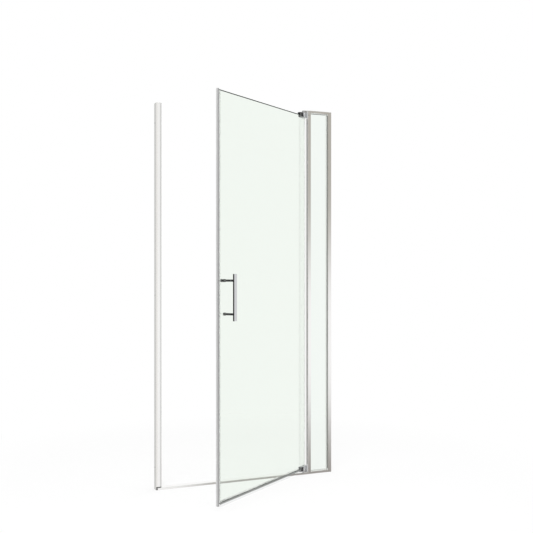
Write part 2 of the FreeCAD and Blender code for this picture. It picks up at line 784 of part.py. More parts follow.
def clamp_half(label, inner, height, flip):
    """Half of a clamp: a block with a round knuckle, slotted for the glass, bored for pin and screws."""
    side = (1 if inner else -1) * (-1 if flip else 1)
    piece = Piece(label)
    block = piece.sketch("XY_Plane")
    if inner:
        rectangle(block, ("-clamp_length", "-clamp_half"), ("0", "clamp_half"))
    else:
        polygon(block, [
            ("0", "-clamp_half"),
            ("0", "clamp_half"),
            ("-clamp_taper_start", "clamp_half"),
            ("-clamp_length", "clamp_half - clamp_taper"),
            ("-clamp_length", "clamp_taper - clamp_half"),
            ("-clamp_taper_start", "-clamp_half"),
        ])
    piece.pad(block, "clamp_height", "down")
    knuckle = piece.sketch("XY_Plane")
    circle(knuckle, ("0", "0"), "clamp_half")
    piece.pad(knuckle, "clamp_height", "down")

    def is_end_corner(edge):
        return is_upright(edge) and lies_at(edge, "x", "-clamp_length")

    piece.soften("clamp_corner_radius", is_end_corner)
    piece.bevel("clamp_bevel", lambda edge: lies_at(edge, "z", "0") or lies_at(edge, "z", "-clamp_height"))
    slot = piece.sketch("XY_Plane", "-clamp_height")
    rectangle(slot, ("-clamp_length - cut_overrun", "-slot_half"), ("slot_end", "slot_half"))
    piece.cut(slot, "clamp_height - clamp_cover + gasket_wall")
    piece.drill("XY_Plane", "0", [("0", "0")], "pin_radius + fit_clearance", "pin_seat")
    screws = [("-clamp_screw_first - %d * clamp_screw_pitch" % n, "-clamp_screw_drop") for n in range(2)]
    hole = "clamp_screw_radius + screw_clearance"
    reach = "clamp_half + cut_overrun" if inner else "clamp_screw_grip + screw_clearance"
    piece.drill("XZ_Plane", "0", screws, hole, reach)
    if inner:
        recess = "clamp_head_radius + fit_clearance"
        piece.drill("XZ_Plane", "%d * clamp_half" % -side, screws, recess, "counterbore")
    other = piece.sketch("XY_Plane", "-clamp_height / 2")
    far = "%d * (clamp_half + cut_overrun)" % -side
    rectangle(other, ("-clamp_length - cut_overrun", "0"), ("clamp_half + cut_overrun", far))
    piece.cut(other, "clamp_height")
    piece.hang(z=height, flip=flip)


def clamp_gasket(label, height, flip):
    """The soft liner between a clamp and the glass."""
    piece = Piece(label)
    section = piece.sketch("YZ_Plane", "-clamp_length")
    roof = "gasket_wall - clamp_cover"
    polygon(section, [
        ("-slot_half", "-clamp_height"),
        ("-half_glass", "-clamp_height"),
        ("-half_glass", "-clamp_cover"),
        ("half_glass", "-clamp_cover"),
        ("half_glass", "-clamp_height"),
        ("slot_half", "-clamp_height"),
        ("slot_half", roof),
        ("-slot_half", roof),
    ])
    piece.pad(section, "clamp_length + slot_end")
    piece.hang(z=height, flip=flip)


def pivot_pin(label, bush_length, height, flip):
    """The steel pin held between the halves of a clamp."""
    piece = Piece(label)
    end = "(pivot_gap + %s - pin_end_gap)" % bush_length
    piece.spin("Z", [
        ("0", "-pin_seat"),
        ("pin_radius", "-pin_seat"),
        ("pin_radius", "%s - pin_bevel" % end),
        ("pin_radius - pin_bevel", end),
        ("0", end),
    ])
    piece.hang(z=height, flip=flip)


def clamp_screws():
    """The four screws that draw the clamp halves together, heads sunk in the inner halves."""
    length = "clamp_half - counterbore + clamp_screw_grip"
    head = ("clamp_head_radius", "clamp_head_height")
    piece = screw("clamp_screws", "Y", "clamp_screw_radius", length, *head)
    span = "top_clamp_face - bottom_clamp_face - 2 * clamp_screw_drop"
    piece.repeat(("X_Axis", "clamp_screw_pitch", 2), ("Z_Axis", span, 2))
    piece.hang(x="-clamp_screw_first - clamp_screw_pitch", y="clamp_half - counterbore",
               z="top_clamp_face - clamp_screw_drop", flip=HALF_TURN)


def clamps():
    """The clamps, liners and pins at the top and bottom corners of the leaf."""
    for end, height, flip, bush_length in (
        ("top", "top_clamp_face", 0, "top_bush_length"),
        ("bottom", "bottom_clamp_face", HALF_TURN, "bottom_arm_thickness"),
    ):
        clamp_half("%s_clamp_outer" % end, False, height, flip)
        clamp_half("%s_clamp_inner" % end, True, height, flip)
        clamp_gasket("%s_clamp_gasket" % end, height, flip)
        pivot_pin("%s_pivot_pin" % end, bush_length, height, flip)
    clamp_screws()


def strike_seal():
    """The clear seal on the free edge, with a square bulb round its magnet."""
    piece = Piece("strike_seal")
    section = piece.sketch("XY_Plane", "glass_bottom - seal_drop")
    mouth = "seal_grip - glass_reach"
    polygon(section, [
        (mouth, "half_glass"),
        ("-glass_reach", "half_glass"),
        ("-glass_reach", "-half_glass"),
        (mouth, "-half_glass"),
        (mouth, "-lip_half"),
        ("-glass_reach", "-lip_half"),
        ("-glass_reach", "-bulb_half"),
        ("-leaf_reach", "-bulb_half"),
        ("-leaf_reach", "bulb_half"),
        ("-glass_reach", "bulb_half"),
        ("-glass_reach", "lip_half"),
        (mouth, "lip_half"),
    ])
    hollow = "bulb_half - bulb_wall"
    rectangle(section, ("bulb_wall - leaf_reach", "-(%s)" % hollow), ("-glass_reach - bulb_wall", hollow))
    piece.pad(section, "glass_top + seal_rise - glass_bottom + seal_drop")
    piece.hang()


def strike_seal_magnet():
    """The magnet strip inside the bulb of the strike seal."""
    piece = Piece("strike_seal_magnet")
    section = piece.sketch("XY_Plane", "glass_bottom - seal_drop")
    half = "bulb_half - bulb_wall - bulb_magnet_clearance"
    back = "-glass_reach - bulb_wall - bulb_magnet_clearance"
    rectangle(section, ("bulb_wall - leaf_reach", "-(%s)" % half), (back, half))
    piece.pad(section, "glass_top + seal_rise - glass_bottom + seal_drop")
    piece.hang()


def hinge_seal():
    """The clear seal on the hinge edge, with a fin towards the hinge post, between the clamps."""
    piece = Piece("hinge_seal")
    bottom = "bottom_clamp_face + clamp_height + seal_end_gap"
    top = "top_clamp_face - clamp_height - seal_end_gap"
    section = piece.sketch("XY_Plane", bottom)
    mouth = "glass_tail - seal_grip"
    base = "glass_tail + hinge_seal_base"
    tip = "pivot_setback - hinge_seal_gap"
    polygon(section, [
        (mouth, "-lip_half"),
        (base, "-lip_half"),
        (base, "-half_fin"),
        (tip, "-half_fin"),
        (tip, "half_fin"),
        (base, "half_fin"),
        (base, "lip_half"),
        (mouth, "lip_half"),
        (mouth, "half_glass"),
        ("glass_tail", "half_glass"),
        ("glass_tail", "-half_glass"),
        (mouth, "-half_glass"),
    ])
    piece.pad(section, "%s - (%s)" % (top, bottom))
    piece.hang()


def door_sweep():
    """The clear seal under the leaf: a grip on the glass, a wiper towards the sill and a drip fin inside."""
    piece = Piece("door_sweep")
    start = "seal_grip - glass_reach"
    grip = "glass_bottom + seal_grip"
    section = piece.sketch("YZ_Plane", start)
    polygon(section, [
        ("-lip_half", grip),
        ("-half_glass", grip),
        ("-half_glass", "glass_bottom"),
        ("half_glass", "glass_bottom"),
        ("half_glass", grip),
        ("lip_half", grip),
        ("lip_half", "sweep_floor + fin_thickness"),
        ("lip_half + drip_reach", "sweep_floor + fin_thickness - drip_fall"),
        ("lip_half + drip_reach", "sweep_floor - drip_fall"),
        ("lip_half", "sweep_floor"),
        ("half_fin", "sweep_floor"),
        ("half_fin", "fin_end"),
        ("-half_fin", "fin_end"),
        ("-half_fin", "sweep_floor"),
        ("-lip_half", "sweep_floor"),
    ])
    piece.pad(section, "glass_reach - seal_grip - clamp_length - seal_end_gap")
    piece.hang()


# The handle


def handle_bar():
    """The flat pull outside, with a socket in its back for each standoff."""
    piece = Piece("handle_bar")
    section = piece.sketch("XY_Plane")
    rectangle(section, ("-bar_width / 2", "-bar_thickness"), ("bar_width / 2", "0"))
    piece.pad(section, "bar_length", "both")
    piece.bevel("bar_bevel", lambda edge: True)
    sockets = [("0", "%d * handle_pitch / 2" % side) for side in (-1, 1)]
    piece.drill("XZ_Plane", "0", sockets, "standoff_radius + fit_clearance", "socket_depth")
    piece.hang(x="-handle_reach", y="-half_glass - standoff_length", z="handle_height")


def standoff(label, side):
    """A turned standoff with a coned foot, tapped for its stud."""
    piece = Piece(label)
    foot = "standoff_base_height"
    end = "(standoff_length - bush_rim_thickness + socket_depth)"
    depth = "(stud_in_standoff + stud_end_gap)"
    piece.spin("Y", [
        ("stud_bore", "0"),
        ("standoff_base_radius", "0"),
        ("standoff_base_radius", "-%s" % foot),
        ("standoff_radius", "-%s - standoff_taper" % foot),
        ("standoff_radius", "-%s" % end),
        ("0", "-%s" % end),
        ("0", "-%s" % depth),
        ("stud_bore", "-%s" % depth),
    ])
    piece.hang(x="-handle_reach", y="-bush_face", z="handle_height + %d * handle_pitch / 2" % side)


def handle_bushes():
    """The flanged bushes that line the holes in the glass, flanges outside."""
    piece = Piece("handle_bushes")
    sleeve = "glass_hole_radius - sleeve_clearance"
    end = "half_glass - sleeve_clearance"
    piece.spin("Y", [
        ("stud_bore", "-bush_face"),
        ("bush_rim_radius", "-bush_face"),
        ("bush_rim_radius", "-half_glass"),
        (sleeve, "-half_glass"),
        (sleeve, end),
        ("stud_bore", end),
    ])
    piece.repeat(("Z_Axis", "handle_pitch", 2))
    piece.hang(x="-handle_reach", z="handle_height - handle_pitch / 2")


def handle_studs():
    """The threaded studs that draw the standoffs and the inside pieces together."""
    piece = Piece("handle_studs")
    outside = "-bush_face - stud_in_standoff"
    inside = "half_glass + stud_in_knob"
    piece.spin("Y", [("0", outside), ("stud_radius", outside), ("stud_radius", inside), ("0", inside)])
    piece.repeat(("Z_Axis", "handle_pitch", 2))
    piece.hang(x="-handle_reach", z="handle_height - handle_pitch / 2")


def inside_piece(label, side, neck, head, length):
    """A turned piece on the shower side of the glass: the coned knob above, the flat nut below."""
    piece = Piece(label)
    piece.spin("Y", [
        ("stud_bore", "0"),
        (neck, "0"),
        (head, "%s - knob_bevel" % length),
        ("%s - knob_bevel" % head, length),
        ("0", length),
        ("0", "knob_bore_depth"),
        ("stud_bore", "knob_bore_depth"),
    ])
    piece.hang(x="-handle_reach", y="half_glass", z="handle_height + %d * handle_pitch / 2" % side)


def build():
    """Make every sub-part."""
    fill_sheet()
    wall_channels()
    strike_post()
    strike_magnet()
    caps()
    jamb_foot()
    sill()
    hinge_post()
    wall_post()
    panel_rail("panel_bottom_rail", "0", 0)
    panel_rail("panel_top_rail", "frame_height", HALF_TURN)
    panel_glass()
    panel_glazing_vinyl()
    pivots()
    door_glass()
    clamps()
    strike_seal()
    strike_seal_magnet()
    hinge_seal()
    door_sweep()
    handle_bar()
    standoff("upper_standoff", 1)
    standoff("lower_standoff", -1)
    handle_bushes()
    handle_studs()
    inside_piece("inside_knob", 1, "knob_neck_radius", "knob_head_radius", "knob_length")
    inside_piece("inside_cap_nut", -1, "cap_nut_radius", "cap_nut_radius", "cap_nut_length")
    doc.recompute()


def check():
    """Stop if any feature failed or any sub-part isn't a sound solid."""
    failed = [item.Label for item in doc.Objects if {"Invalid", "Error"} & set(item.State)]
    if failed:
        raise RuntimeError("failed features: %s" % ", ".join(failed))
    unsound = [body.Label for body in bodies if body.Shape.isNull() or not body.Shape.isValid()]
    if unsound:
        raise RuntimeError("unsound shapes: %s" % ", ".join(unsound))


def write():
    """Write each sub-part to its own file."""
    os.makedirs("parts", exist_ok=True)
    for body in bodies:
        body.Shape.exportStep("parts/%s.step" % body.Label)
        print("%-22s %d solid(s) %12.1f mm3" % (body.Label, len(body.Shape.Solids), body.Shape.Volume))


build()
check()
write()
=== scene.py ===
"""Finishes, small fasteners and studio for a shower door whose glass leaf turns on two pivots."""

import json
import math

import bmesh
import bpy
from mathutils import Matrix, Vector


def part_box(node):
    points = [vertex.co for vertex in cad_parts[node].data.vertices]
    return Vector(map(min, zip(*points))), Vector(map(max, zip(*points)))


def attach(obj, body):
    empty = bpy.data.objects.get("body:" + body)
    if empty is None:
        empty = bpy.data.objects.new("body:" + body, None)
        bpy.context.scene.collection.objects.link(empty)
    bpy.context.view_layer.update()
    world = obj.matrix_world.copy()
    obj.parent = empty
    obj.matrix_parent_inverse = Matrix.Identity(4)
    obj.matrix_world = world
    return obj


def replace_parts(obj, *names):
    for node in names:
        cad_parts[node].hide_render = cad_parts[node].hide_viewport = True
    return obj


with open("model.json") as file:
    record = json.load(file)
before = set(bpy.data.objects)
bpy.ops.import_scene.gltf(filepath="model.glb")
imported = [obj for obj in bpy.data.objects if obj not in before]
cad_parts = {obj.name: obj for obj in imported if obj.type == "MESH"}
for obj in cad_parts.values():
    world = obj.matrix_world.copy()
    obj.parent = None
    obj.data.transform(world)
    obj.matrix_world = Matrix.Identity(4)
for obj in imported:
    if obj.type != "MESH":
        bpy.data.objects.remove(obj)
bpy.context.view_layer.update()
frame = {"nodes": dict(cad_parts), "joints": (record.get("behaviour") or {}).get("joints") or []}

bl_info = {
    "name": "Pivot shower door",
    "version": (1, 0, 0),
    "blender": (4, 5, 0),
    "location": "3D View > Sidebar > Shower",
    "description": "Finishes, small fasteners and studio for a pivot shower door",
    "category": "Object",
}

HINGE = frame["joints"][0]
# The leaf rests open by as much as its joint turns back to shut it.
OPEN_ANGLE = math.radians(-HINGE["range_deg"][0])
PIVOT = Vector(HINGE["pos_m"])
LEAF_ALONG = Vector((-math.cos(OPEN_ANGLE), -math.sin(OPEN_ANGLE), 0.0))
LEAF_OUT = Vector((math.sin(OPEN_ANGLE), -math.cos(OPEN_ANGLE), 0.0))
OUTSIDE = Vector((0.0, -1.0, 0.0))
INSIDE = Vector((0.0, 1.0, 0.0))
TO_THE_WALL = Vector((1.0, 0.0, 0.0))
UP = Vector((0.0, 0.0, 1.0))
RUNS = {"X": TO_THE_WALL, "Z": UP}
MM = 0.001
WHITE = (1.0, 1.0, 1.0)

# Sockets of the Mix node in colour mode, by place.
MIX_FACTOR, MIX_FIRST, MIX_SECOND, MIX_RESULT = 0, 6, 7, 2

# Patterns in the finishes: cycles for a metre along X, Y and Z, then the detail of the noise.
EXTRUSION_HAZE = ((14.0, 14.0, 9.0), 4.0)
WIPED_FILM = ((60.0, 60.0, 26.0), 5.0)
CASTING_RIPPLE = ((420.0, 420.0, 420.0), 1.0)
LATHE_MARKS = ((3000.0, 3000.0, 3000.0), 3.0)
STEEL_STAIN = ((240.0, 240.0, 240.0), 3.0)
ROLLER_WAVE = ((1.5, 1.5, 4.5), 1.0)
EDGE_GRAIN = ((2600.0, 2600.0, 2600.0), 3.0)
VINYL_CLOUD = ((38.0, 38.0, 12.0), 3.0)
MOULD_CLOUD = ((45.0, 45.0, 45.0), 3.0)
MOULD_DETAIL = 4.0

# Lines along a run: cycles for a metre across it and along it, then the detail of the noise.
DIE_LINES = (2400.0, 1.2, 2.0)
DIE_BANDS = (190.0, 0.5, 1.0)
SAW_MARKS = (3600.0, 90.0, 2.0)
DRAW_LINES = (1500.0, 2.0, 3.0)

# Relief that the patterns leave. Saw marks are deeper than die lines by a share.
DIE_LINE_DEPTH = 0.002 * MM
SAW_MARK_SHARE = 2.0
RIPPLE_DEPTH = 0.004 * MM
LATHE_DEPTH = 0.004 * MM
WAVE_DEPTH = 0.05 * MM
EDGE_GRAIN_DEPTH = 0.03 * MM
DRAW_LINE_DEPTH = 0.01 * MM

# How far a pattern changes the roughness: either way, or only duller.
NOISE_MIDDLE = 0.5
DIE_LINE_SWAY = 0.05
DIE_BAND_SWAY = 0.04
LATHE_SWAY = 0.12
MOULD_SWAY = 0.2
SAWN_DULLING = 0.22
FILM_DULLING = 0.06
EDGE_DULLING = 0.2
DRAW_LINE_DULLING = 0.10

# Where the film on the plating shows, from 0 to 1 of its noise.
FILM_EDGE = (0.45, 0.75)

# How squarely a surface faces a direction where a soft step begins and ends.
END_FACING = (0.9, 0.97)
PANE_FACING = (0.9, 0.98)
BULB_FACING = (0.6, 0.9)

# Shares of a tone.
HAZE_SHARE = 0.955
SAWN_SHARE = 0.8
STRIKE_POST_SHARE = 0.74
FILM_SHARE = 0.93
STAIN_SHARE = 0.86
EDGE_SHADE_SHARES = (0.7, 1.3)
MAGNET_SHARE = 0.62
SWEEP_SHARE = 0.91
MOULD_SHARES = (0.88, 1.1)
# Arms, handle and standoffs take darker shares of the chrome: painted shade for the dark reflections they
# show.
PLATING_SHARES = {"clamp_chrome": 1.0, "arm_chrome": 0.85, "handle_chrome": 0.86, "standoff_chrome": 0.4}

# Cloudiness of the vinyl: its tone, and how much of it there is.
CLOUD_TONE = (0.5, 0.5, 0.5)
CLOUD_SHARE = 0.01

# The upright ground edges of a pane are pale, from one tone to another.
PALE_EDGE = ((0.94, 0.97, 0.94), (0.98, 1.0, 0.98))

STEEL_ROUGHNESS = {
    "pin_steel": 0.20,
    "handle_screw_steel": 0.22,
    "face_screw_steel": 0.20,
    "clamp_screw_steel": 0.24,
    "locking_screw_steel": 0.22,
}
# Roughness, grain in cycles for a metre and depth of the grain.
MOULDINGS = {
    "magnet_strip": (0.62, 1800.0, 0.03 * MM),
    "cap_plastic": (0.42, 2200.0, 0.02 * MM),
    "foot_plastic": (0.48, 1600.0, 0.03 * MM),
    "bearing_plastic": (0.38, 2400.0, 0.01 * MM),
    "gasket_rubber": (0.70, 1400.0, 0.04 * MM),
    "glass_bush_plastic": (0.40, 2400.0, 0.01 * MM),
}
EDGE_ROUGHNESS = 0.34
EDGE_SPECULAR = 0.05
VINYL_ROUGHNESS = 0.08

# How far each stuff bends light. The thin clear vinyl hardly does.
GLASS_IOR = 1.52
CLEAR_VINYL_IOR = 1.05
SOLID_VINYL_IOR = 1.45
MOULD_IOR = 1.49

# Dark band of painted shade down from the top edge of a pane, and the stretch at each end where edges are
# pale.
EDGE_SHADE_BAND = 4.0 * MM
EDGE_SHADE_BAND_FADE = 0.4 * MM
PALE_END = 8.0 * MM
PALE_END_FADE = 2.0 * MM

# Strike seal: how far its clear lips go past the glass, and where the outer side of its bulb begins,
# from the middle of the glass.
LIP_REACH = 3.5 * MM
LIP_FADE = 0.4 * MM
BULB_SIDE = (2.0 * MM, 3.0 * MM)

# Sweep: its web lies between these distances under the glass.
WEB_NEAR = 1.0 * MM
WEB_FAR = 9.0 * MM
WEB_FADE = 0.3 * MM


class Signal:
    """A node socket; arithmetic on it adds Math nodes to its finish."""

    def __init__(self, finish, socket):
        self.finish = finish
        self.socket = socket

    def maths(self, operation, *values):
        return self.finish.node("ShaderNodeMath", {"operation": operation}, dict(enumerate(values)))

    def __add__(self, other):
        return self.maths("ADD", self, other)

    __radd__ = __add__

    def __sub__(self, other):
        return self.maths("SUBTRACT", self, other)

    def __rsub__(self, other):
        return self.maths("SUBTRACT", other, self)

    def __mul__(self, other):
        return self.maths("MULTIPLY", self, other)

    __rmul__ = __mul__

    def __abs__(self):
        return self.maths("ABSOLUTE", self)

    def __gt__(self, other):
        return self.maths("GREATER_THAN", self, other)

    def __lt__(self, other):
        return self.maths("LESS_THAN", self, other)

    def __or__(self, other):
        return self.maths("MAXIMUM", self, other)

    __ror__ = __or__


class Finish:
    """The node tree of one procedural finish, for a material or the world."""

    def __init__(self, block):
        block.use_nodes = True
        self.block = block
        self.tree = block.node_tree
        self.tree.nodes.clear()

    def node(self, kind, settings=None, sockets=None, output=0):
        """Adds a node: its settings first, then values or links for its sockets; gives one output."""
        node = self.tree.nodes.new(kind)
        for name, value in (settings or {}).items():
            setattr(node, name, value)
        for name, value in (sockets or {}).items():
            entry = node.inputs[name]
            if isinstance(value, Signal):
                self.tree.links.new(value.socket, entry)
            elif entry.type == "RGBA" and len(value) == 3:
                entry.default_value = (*value, 1.0)
            else:
                entry.default_value = value
        return Signal(self, node.outputs[output])

    def place(self, turn=0.0):
        """Coordinates that stay with the piece, turned about the upright by a leaf angle."""
        spot = self.node("ShaderNodeTexCoord", output="Object")
        if not turn:
            return spot
        return self.node(
            "ShaderNodeVectorRotate",
            {"rotation_type": "Z_AXIS"},
            {"Vector": spot, "Center": PIVOT, "Angle": -turn},
        )

    def noise(self, spot, scales, detail):
        """Noise from 0 to 1 with its own scale along each direction, in cycles for a metre."""
        stretched = self.node(
            "ShaderNodeVectorMath", {"operation": "MULTIPLY"}, {0: spot, 1: scales}
        )
        return self.node(
            "ShaderNodeTexNoise", None, {"Vector": stretched, "Scale": 1.0, "Detail": detail}
        )

    def lines(self, spot, run, across, along, detail):
        """Noise drawn out into lines that run along X, Y or Z."""
        scales = tuple(along if axis == run else across for axis in "XYZ")
        return self.noise(spot, scales, detail)

    def sway(self, noise, amount):
        """A change either way that follows a noise."""
        return (noise - NOISE_MIDDLE) * amount

    def along(self, vector, direction):
        """How far a vector goes along a direction of the piece."""
        return self.node(
            "ShaderNodeVectorMath",
            {"operation": "DOT_PRODUCT"},
            {0: vector, 1: tuple(direction)},
            output="Value",
        )

    def facing(self, direction):
        """How squarely the surface faces along a direction of the piece, from 0 to 1."""
        return abs(self.along(self.node("ShaderNodeTexCoord", output="Normal"), direction))

    def step(self, signal, low, high):
        """A soft step from 0 at low to 1 at high."""
        return self.node(
            "ShaderNodeMapRange",
            {"interpolation_type": "SMOOTHSTEP"},
            {"Value": signal, "From Min": low, "From Max": high},
        )

    def window(self, signal, begins, full, fades, ends):
        """1 between two values of a signal, with soft sides."""
        return self.step(signal, begins, full) * (1.0 - self.step(signal, fades, ends))

    def tones(self, share, first, second):
        """A colour between two tones."""
        return self.node(
            "ShaderNodeMix",
            {"data_type": "RGBA"},
            {MIX_FACTOR: share, MIX_FIRST: first, MIX_SECOND: second},
            output=MIX_RESULT,
        )

    def relief(self, height, depth):
        """A bump of a depth in metres."""
        return self.node("ShaderNodeBump", None, {"Height": height, "Distance": depth})

    def surface(self, sockets):
        return self.node("ShaderNodeBsdfPrincipled", None, sockets)

    def blend(self, share, first, second):
        return self.node("ShaderNodeMixShader", None, {0: share, 1: first, 2: second})

    def show(self, shader):
        """Puts a shader on the block and gives the block."""
        world = isinstance(self.block, bpy.types.World)
        output = self.tree.nodes.new("ShaderNodeOutputWorld" if world else "ShaderNodeOutputMaterial")
        self.tree.links.new(shader.socket, output.inputs["Surface"])
        return self.block


def shade(tone, share):
    """A tone made darker or lighter by a share."""
    return tuple(min(1.0, channel * share) for channel in tone)


def drawn_aluminium(name, run, tone, roughness):
    """Bright anodised extrusion: die lines along its run, a faint haze, sawn ends."""
    finish = Finish(bpy.data.materials.new(name))
    spot = finish.place()
    lines = finish.lines(spot, run, *DIE_LINES)
    bands = finish.lines(spot, run, *DIE_BANDS)
    cuts = finish.lines(spot, "Y", *SAW_MARKS)
    haze = finish.noise(spot, *EXTRUSION_HAZE)
    ends = finish.step(finish.facing(RUNS[run]), *END_FACING)
    colour = finish.tones(haze, shade(tone, HAZE_SHARE), tone)
    colour = finish.tones(ends, colour, shade(tone, SAWN_SHARE))
    gloss = finish.sway(lines, DIE_LINE_SWAY) + finish.sway(bands, DIE_BAND_SWAY)
    height = lines * (1.0 - ends) + cuts * ends * SAW_MARK_SHARE
    return finish.show(
        finish.surface(
            {
                "Base Color": colour,
                "Metallic": 1.0,
                "Roughness": roughness + gloss + ends * SAWN_DULLING,
                "Normal": finish.relief(height, DIE_LINE_DEPTH),
            }
        )
    )


def plated(name, tone, roughness):
    """Polished plating over a casting: a faint ripple, and a film where it was last wiped."""
    finish = Finish(bpy.data.materials.new(name))
    spot = finish.place()
    film = finish.noise(spot, *WIPED_FILM)
    ripple = finish.noise(spot, *CASTING_RIPPLE)
    # Painted shade: arms, handle and standoffs are darkened copies of the same plating.
    tone = shade(tone, PLATING_SHARES[name])
    return finish.show(
        finish.surface(
            {
                "Base Color": finish.tones(film, tone, shade(tone, FILM_SHARE)),
                "Metallic": 1.0,
                "Roughness": roughness + finish.step(film, *FILM_EDGE) * FILM_DULLING,
                "Normal": finish.relief(ripple, RIPPLE_DEPTH),
            }
        )
    )


def turned_steel(name, tone):
    """Stainless fasteners and pins, with fine marks from the lathe and a faint stain."""
    finish = Finish(bpy.data.materials.new(name))
    spot = finish.place()
    marks = finish.noise(spot, *LATHE_MARKS)
    stain = finish.noise(spot, *STEEL_STAIN)
    return finish.show(
        finish.surface(
            {
                "Base Color": finish.tones(stain, tone, shade(tone, STAIN_SHARE)),
                "Metallic": 1.0,
                "Roughness": STEEL_ROUGHNESS[name] + finish.sway(marks, LATHE_SWAY),
                "Normal": finish.relief(marks, LATHE_DEPTH),
            }
        )
    )


def tempered_glass(name, tint, edge, out, top, along, ends):
    """Clear float glass with a slight roller wave; ground edges painted dark as shade but for the two
    upright ones.
    """
    finish = Finish(bpy.data.materials.new(name))
    spot = finish.place()
    wave = finish.noise(spot, *ROLLER_WAVE)
    grain = finish.noise(spot, *EDGE_GRAIN)
    clear = finish.surface(
        {
            "Base Color": tint,
            "Roughness": 0.0,
            "IOR": GLASS_IOR,
            "Transmission Weight": 1.0,
            "Normal": finish.relief(wave, WAVE_DEPTH),
        }
    )
    # Painted shade: a band of the faces under the top edge takes the dark edge tone.
    shade_band_low = top - EDGE_SHADE_BAND
    top_shade_band = finish.step(finish.along(spot, UP), shade_band_low - EDGE_SHADE_BAND_FADE, shade_band_low + EDGE_SHADE_BAND_FADE)
    begins, stops = ends[0] + PALE_END, ends[1] - PALE_END
    reach = finish.along(spot, along)
    between = finish.window(reach, begins, begins + PALE_END_FADE, stops - PALE_END_FADE, stops)
    # Painted shade: ground edges other than the upright ones are near black, for the dark look of glass
    # edges.
    edge_shade_tones = [shade(edge, share) for share in EDGE_SHADE_SHARES]
    ground = finish.surface(
        {
            "Base Color": finish.tones(
                between | top_shade_band, finish.tones(grain, *PALE_EDGE), finish.tones(grain, *edge_shade_tones)
            ),
            "Roughness": EDGE_ROUGHNESS + grain * EDGE_DULLING,
            "IOR": GLASS_IOR,
            "Specular IOR Level": EDGE_SPECULAR,
            "Normal": finish.relief(grain, EDGE_GRAIN_DEPTH),
        }
    )
    rim = 1.0 - finish.step(finish.facing(out), *PANE_FACING)
    return finish.show(finish.blend(rim | top_shade_band, clear, ground))


def vinyl_surface(finish, tone, clear, run, turn=0.0):
    """Soft extrusion, clear or solid, with draw lines along its run."""
    spot = finish.place(turn)
    lines = finish.lines(spot, run, *DRAW_LINES)
    cloud = finish.noise(spot, *VINYL_CLOUD)
    return finish.surface(
        {
            "Base Color": finish.tones(cloud * CLOUD_SHARE, tone, CLOUD_TONE),
            "Roughness": VINYL_ROUGHNESS + lines * DRAW_LINE_DULLING,
            "IOR": CLEAR_VINYL_IOR if clear else SOLID_VINYL_IOR,
            "Transmission Weight": 1.0 if clear else 0.0,
            "Normal": finish.relief(lines, DRAW_LINE_DEPTH),
        }
    )


def upright_vinyl(name, tone, clear):
    """Upright vinyl that is clear or solid all over."""
    finish = Finish(bpy.data.materials.new(name))
    return finish.show(vinyl_surface(finish, tone, clear, "Z"))


def strike_vinyl(name, tone, lip_tone, lip_end):
    """Milky bulb, darker where the magnet lies behind its broad sides, with clear lips on the glass."""
    finish = Finish(bpy.data.materials.new(name))
    spot = finish.place()
    offset = finish.along(spot, LEAF_OUT) - PIVOT.dot(LEAF_OUT)
    shaded = finish.step(finish.facing(LEAF_OUT), *BULB_FACING) | finish.step(offset, *BULB_SIDE)
    milky = vinyl_surface(finish, finish.tones(shaded, tone, shade(tone, MAGNET_SHARE)), False, "Z")
    lips = vinyl_surface(finish, lip_tone, True, "Z")
    reach = finish.along(spot, LEAF_ALONG) - PIVOT.dot(LEAF_ALONG)
    return finish.show(finish.blend(finish.step(reach, lip_end - LIP_FADE, lip_end), lips, milky))


def sweep_vinyl(name, tone, web_tone, low, high):
    """Clear grip and fin with a dark web between them, under the glass."""
    finish = Finish(bpy.data.materials.new(name))
    clear = vinyl_surface(finish, shade(tone, SWEEP_SHARE), True, "X", OPEN_ANGLE)
    dark = vinyl_surface(finish, web_tone, False, "X", OPEN_ANGLE)
    height = finish.along(finish.place(), UP)
    inside = finish.window(height, low - WEB_FADE, low, high, high + WEB_FADE)
    return finish.show(finish.blend(inside, clear, dark))


def moulded(name, tone):
    """Injection-moulded plastic or rubber with an etched grain and a little unevenness."""
    finish = Finish(bpy.data.materials.new(name))
    roughness, grain_scale, depth = MOULDINGS[name]
    spot = finish.place()
    grain = finish.noise(spot, (grain_scale,) * 3, MOULD_DETAIL)
    cloud = finish.noise(spot, *MOULD_CLOUD)
    uneven = [shade(tone, share) for share in MOULD_SHARES]
    return finish.show(
        finish.surface(
            {
                "Base Color": finish.tones(cloud, *uneven),
                "Roughness": roughness + finish.sway(grain, MOULD_SWAY),
                "IOR": MOULD_IOR,
                "Normal": finish.relief(grain, depth),
            }
        )
    )


def dress(material, *nodes):
    """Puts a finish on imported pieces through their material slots."""
    for name in nodes:
        piece = frame["nodes"][name]
        if not piece.material_slots:
            raise RuntimeError("%s has no material slot" % name)
        for slot in piece.material_slots:
            slot.link = "OBJECT"
            slot.material = material


def let_light_through(*nodes):
    """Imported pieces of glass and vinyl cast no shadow."""
    for name in nodes:
        frame["nodes"][name].visible_shadow = False


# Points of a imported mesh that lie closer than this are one.
WELD = 0.001 * MM
# Sides of a turned piece, and the angle under which its facets look round.
TURNED_SIDES = 32
SMOOTH_ANGLE = math.radians(35)

# Screw heads and recesses, as shares of the radius or height of a head or the reach of a recess.
DOME_SHARES = ((0.72, 0.10), (0.90, 0.30), (0.985, 0.60), (1.0, 0.80), (1.0, 1.0))
MOUTH_SHARE = 1.15
CLAMP_MOUTH_SHARE = 1.12
CROSS_ARM_SHARE = 0.26
RECESS_FLOOR_SHARE = 0.72
RECESS_DEPTH_SHARE = 0.6
LOCK_RECESS_DEPTH_SHARE = 0.55
CLAMP_RIM_SHARE = 0.9
CLAMP_EDGE_SHARE = 0.12

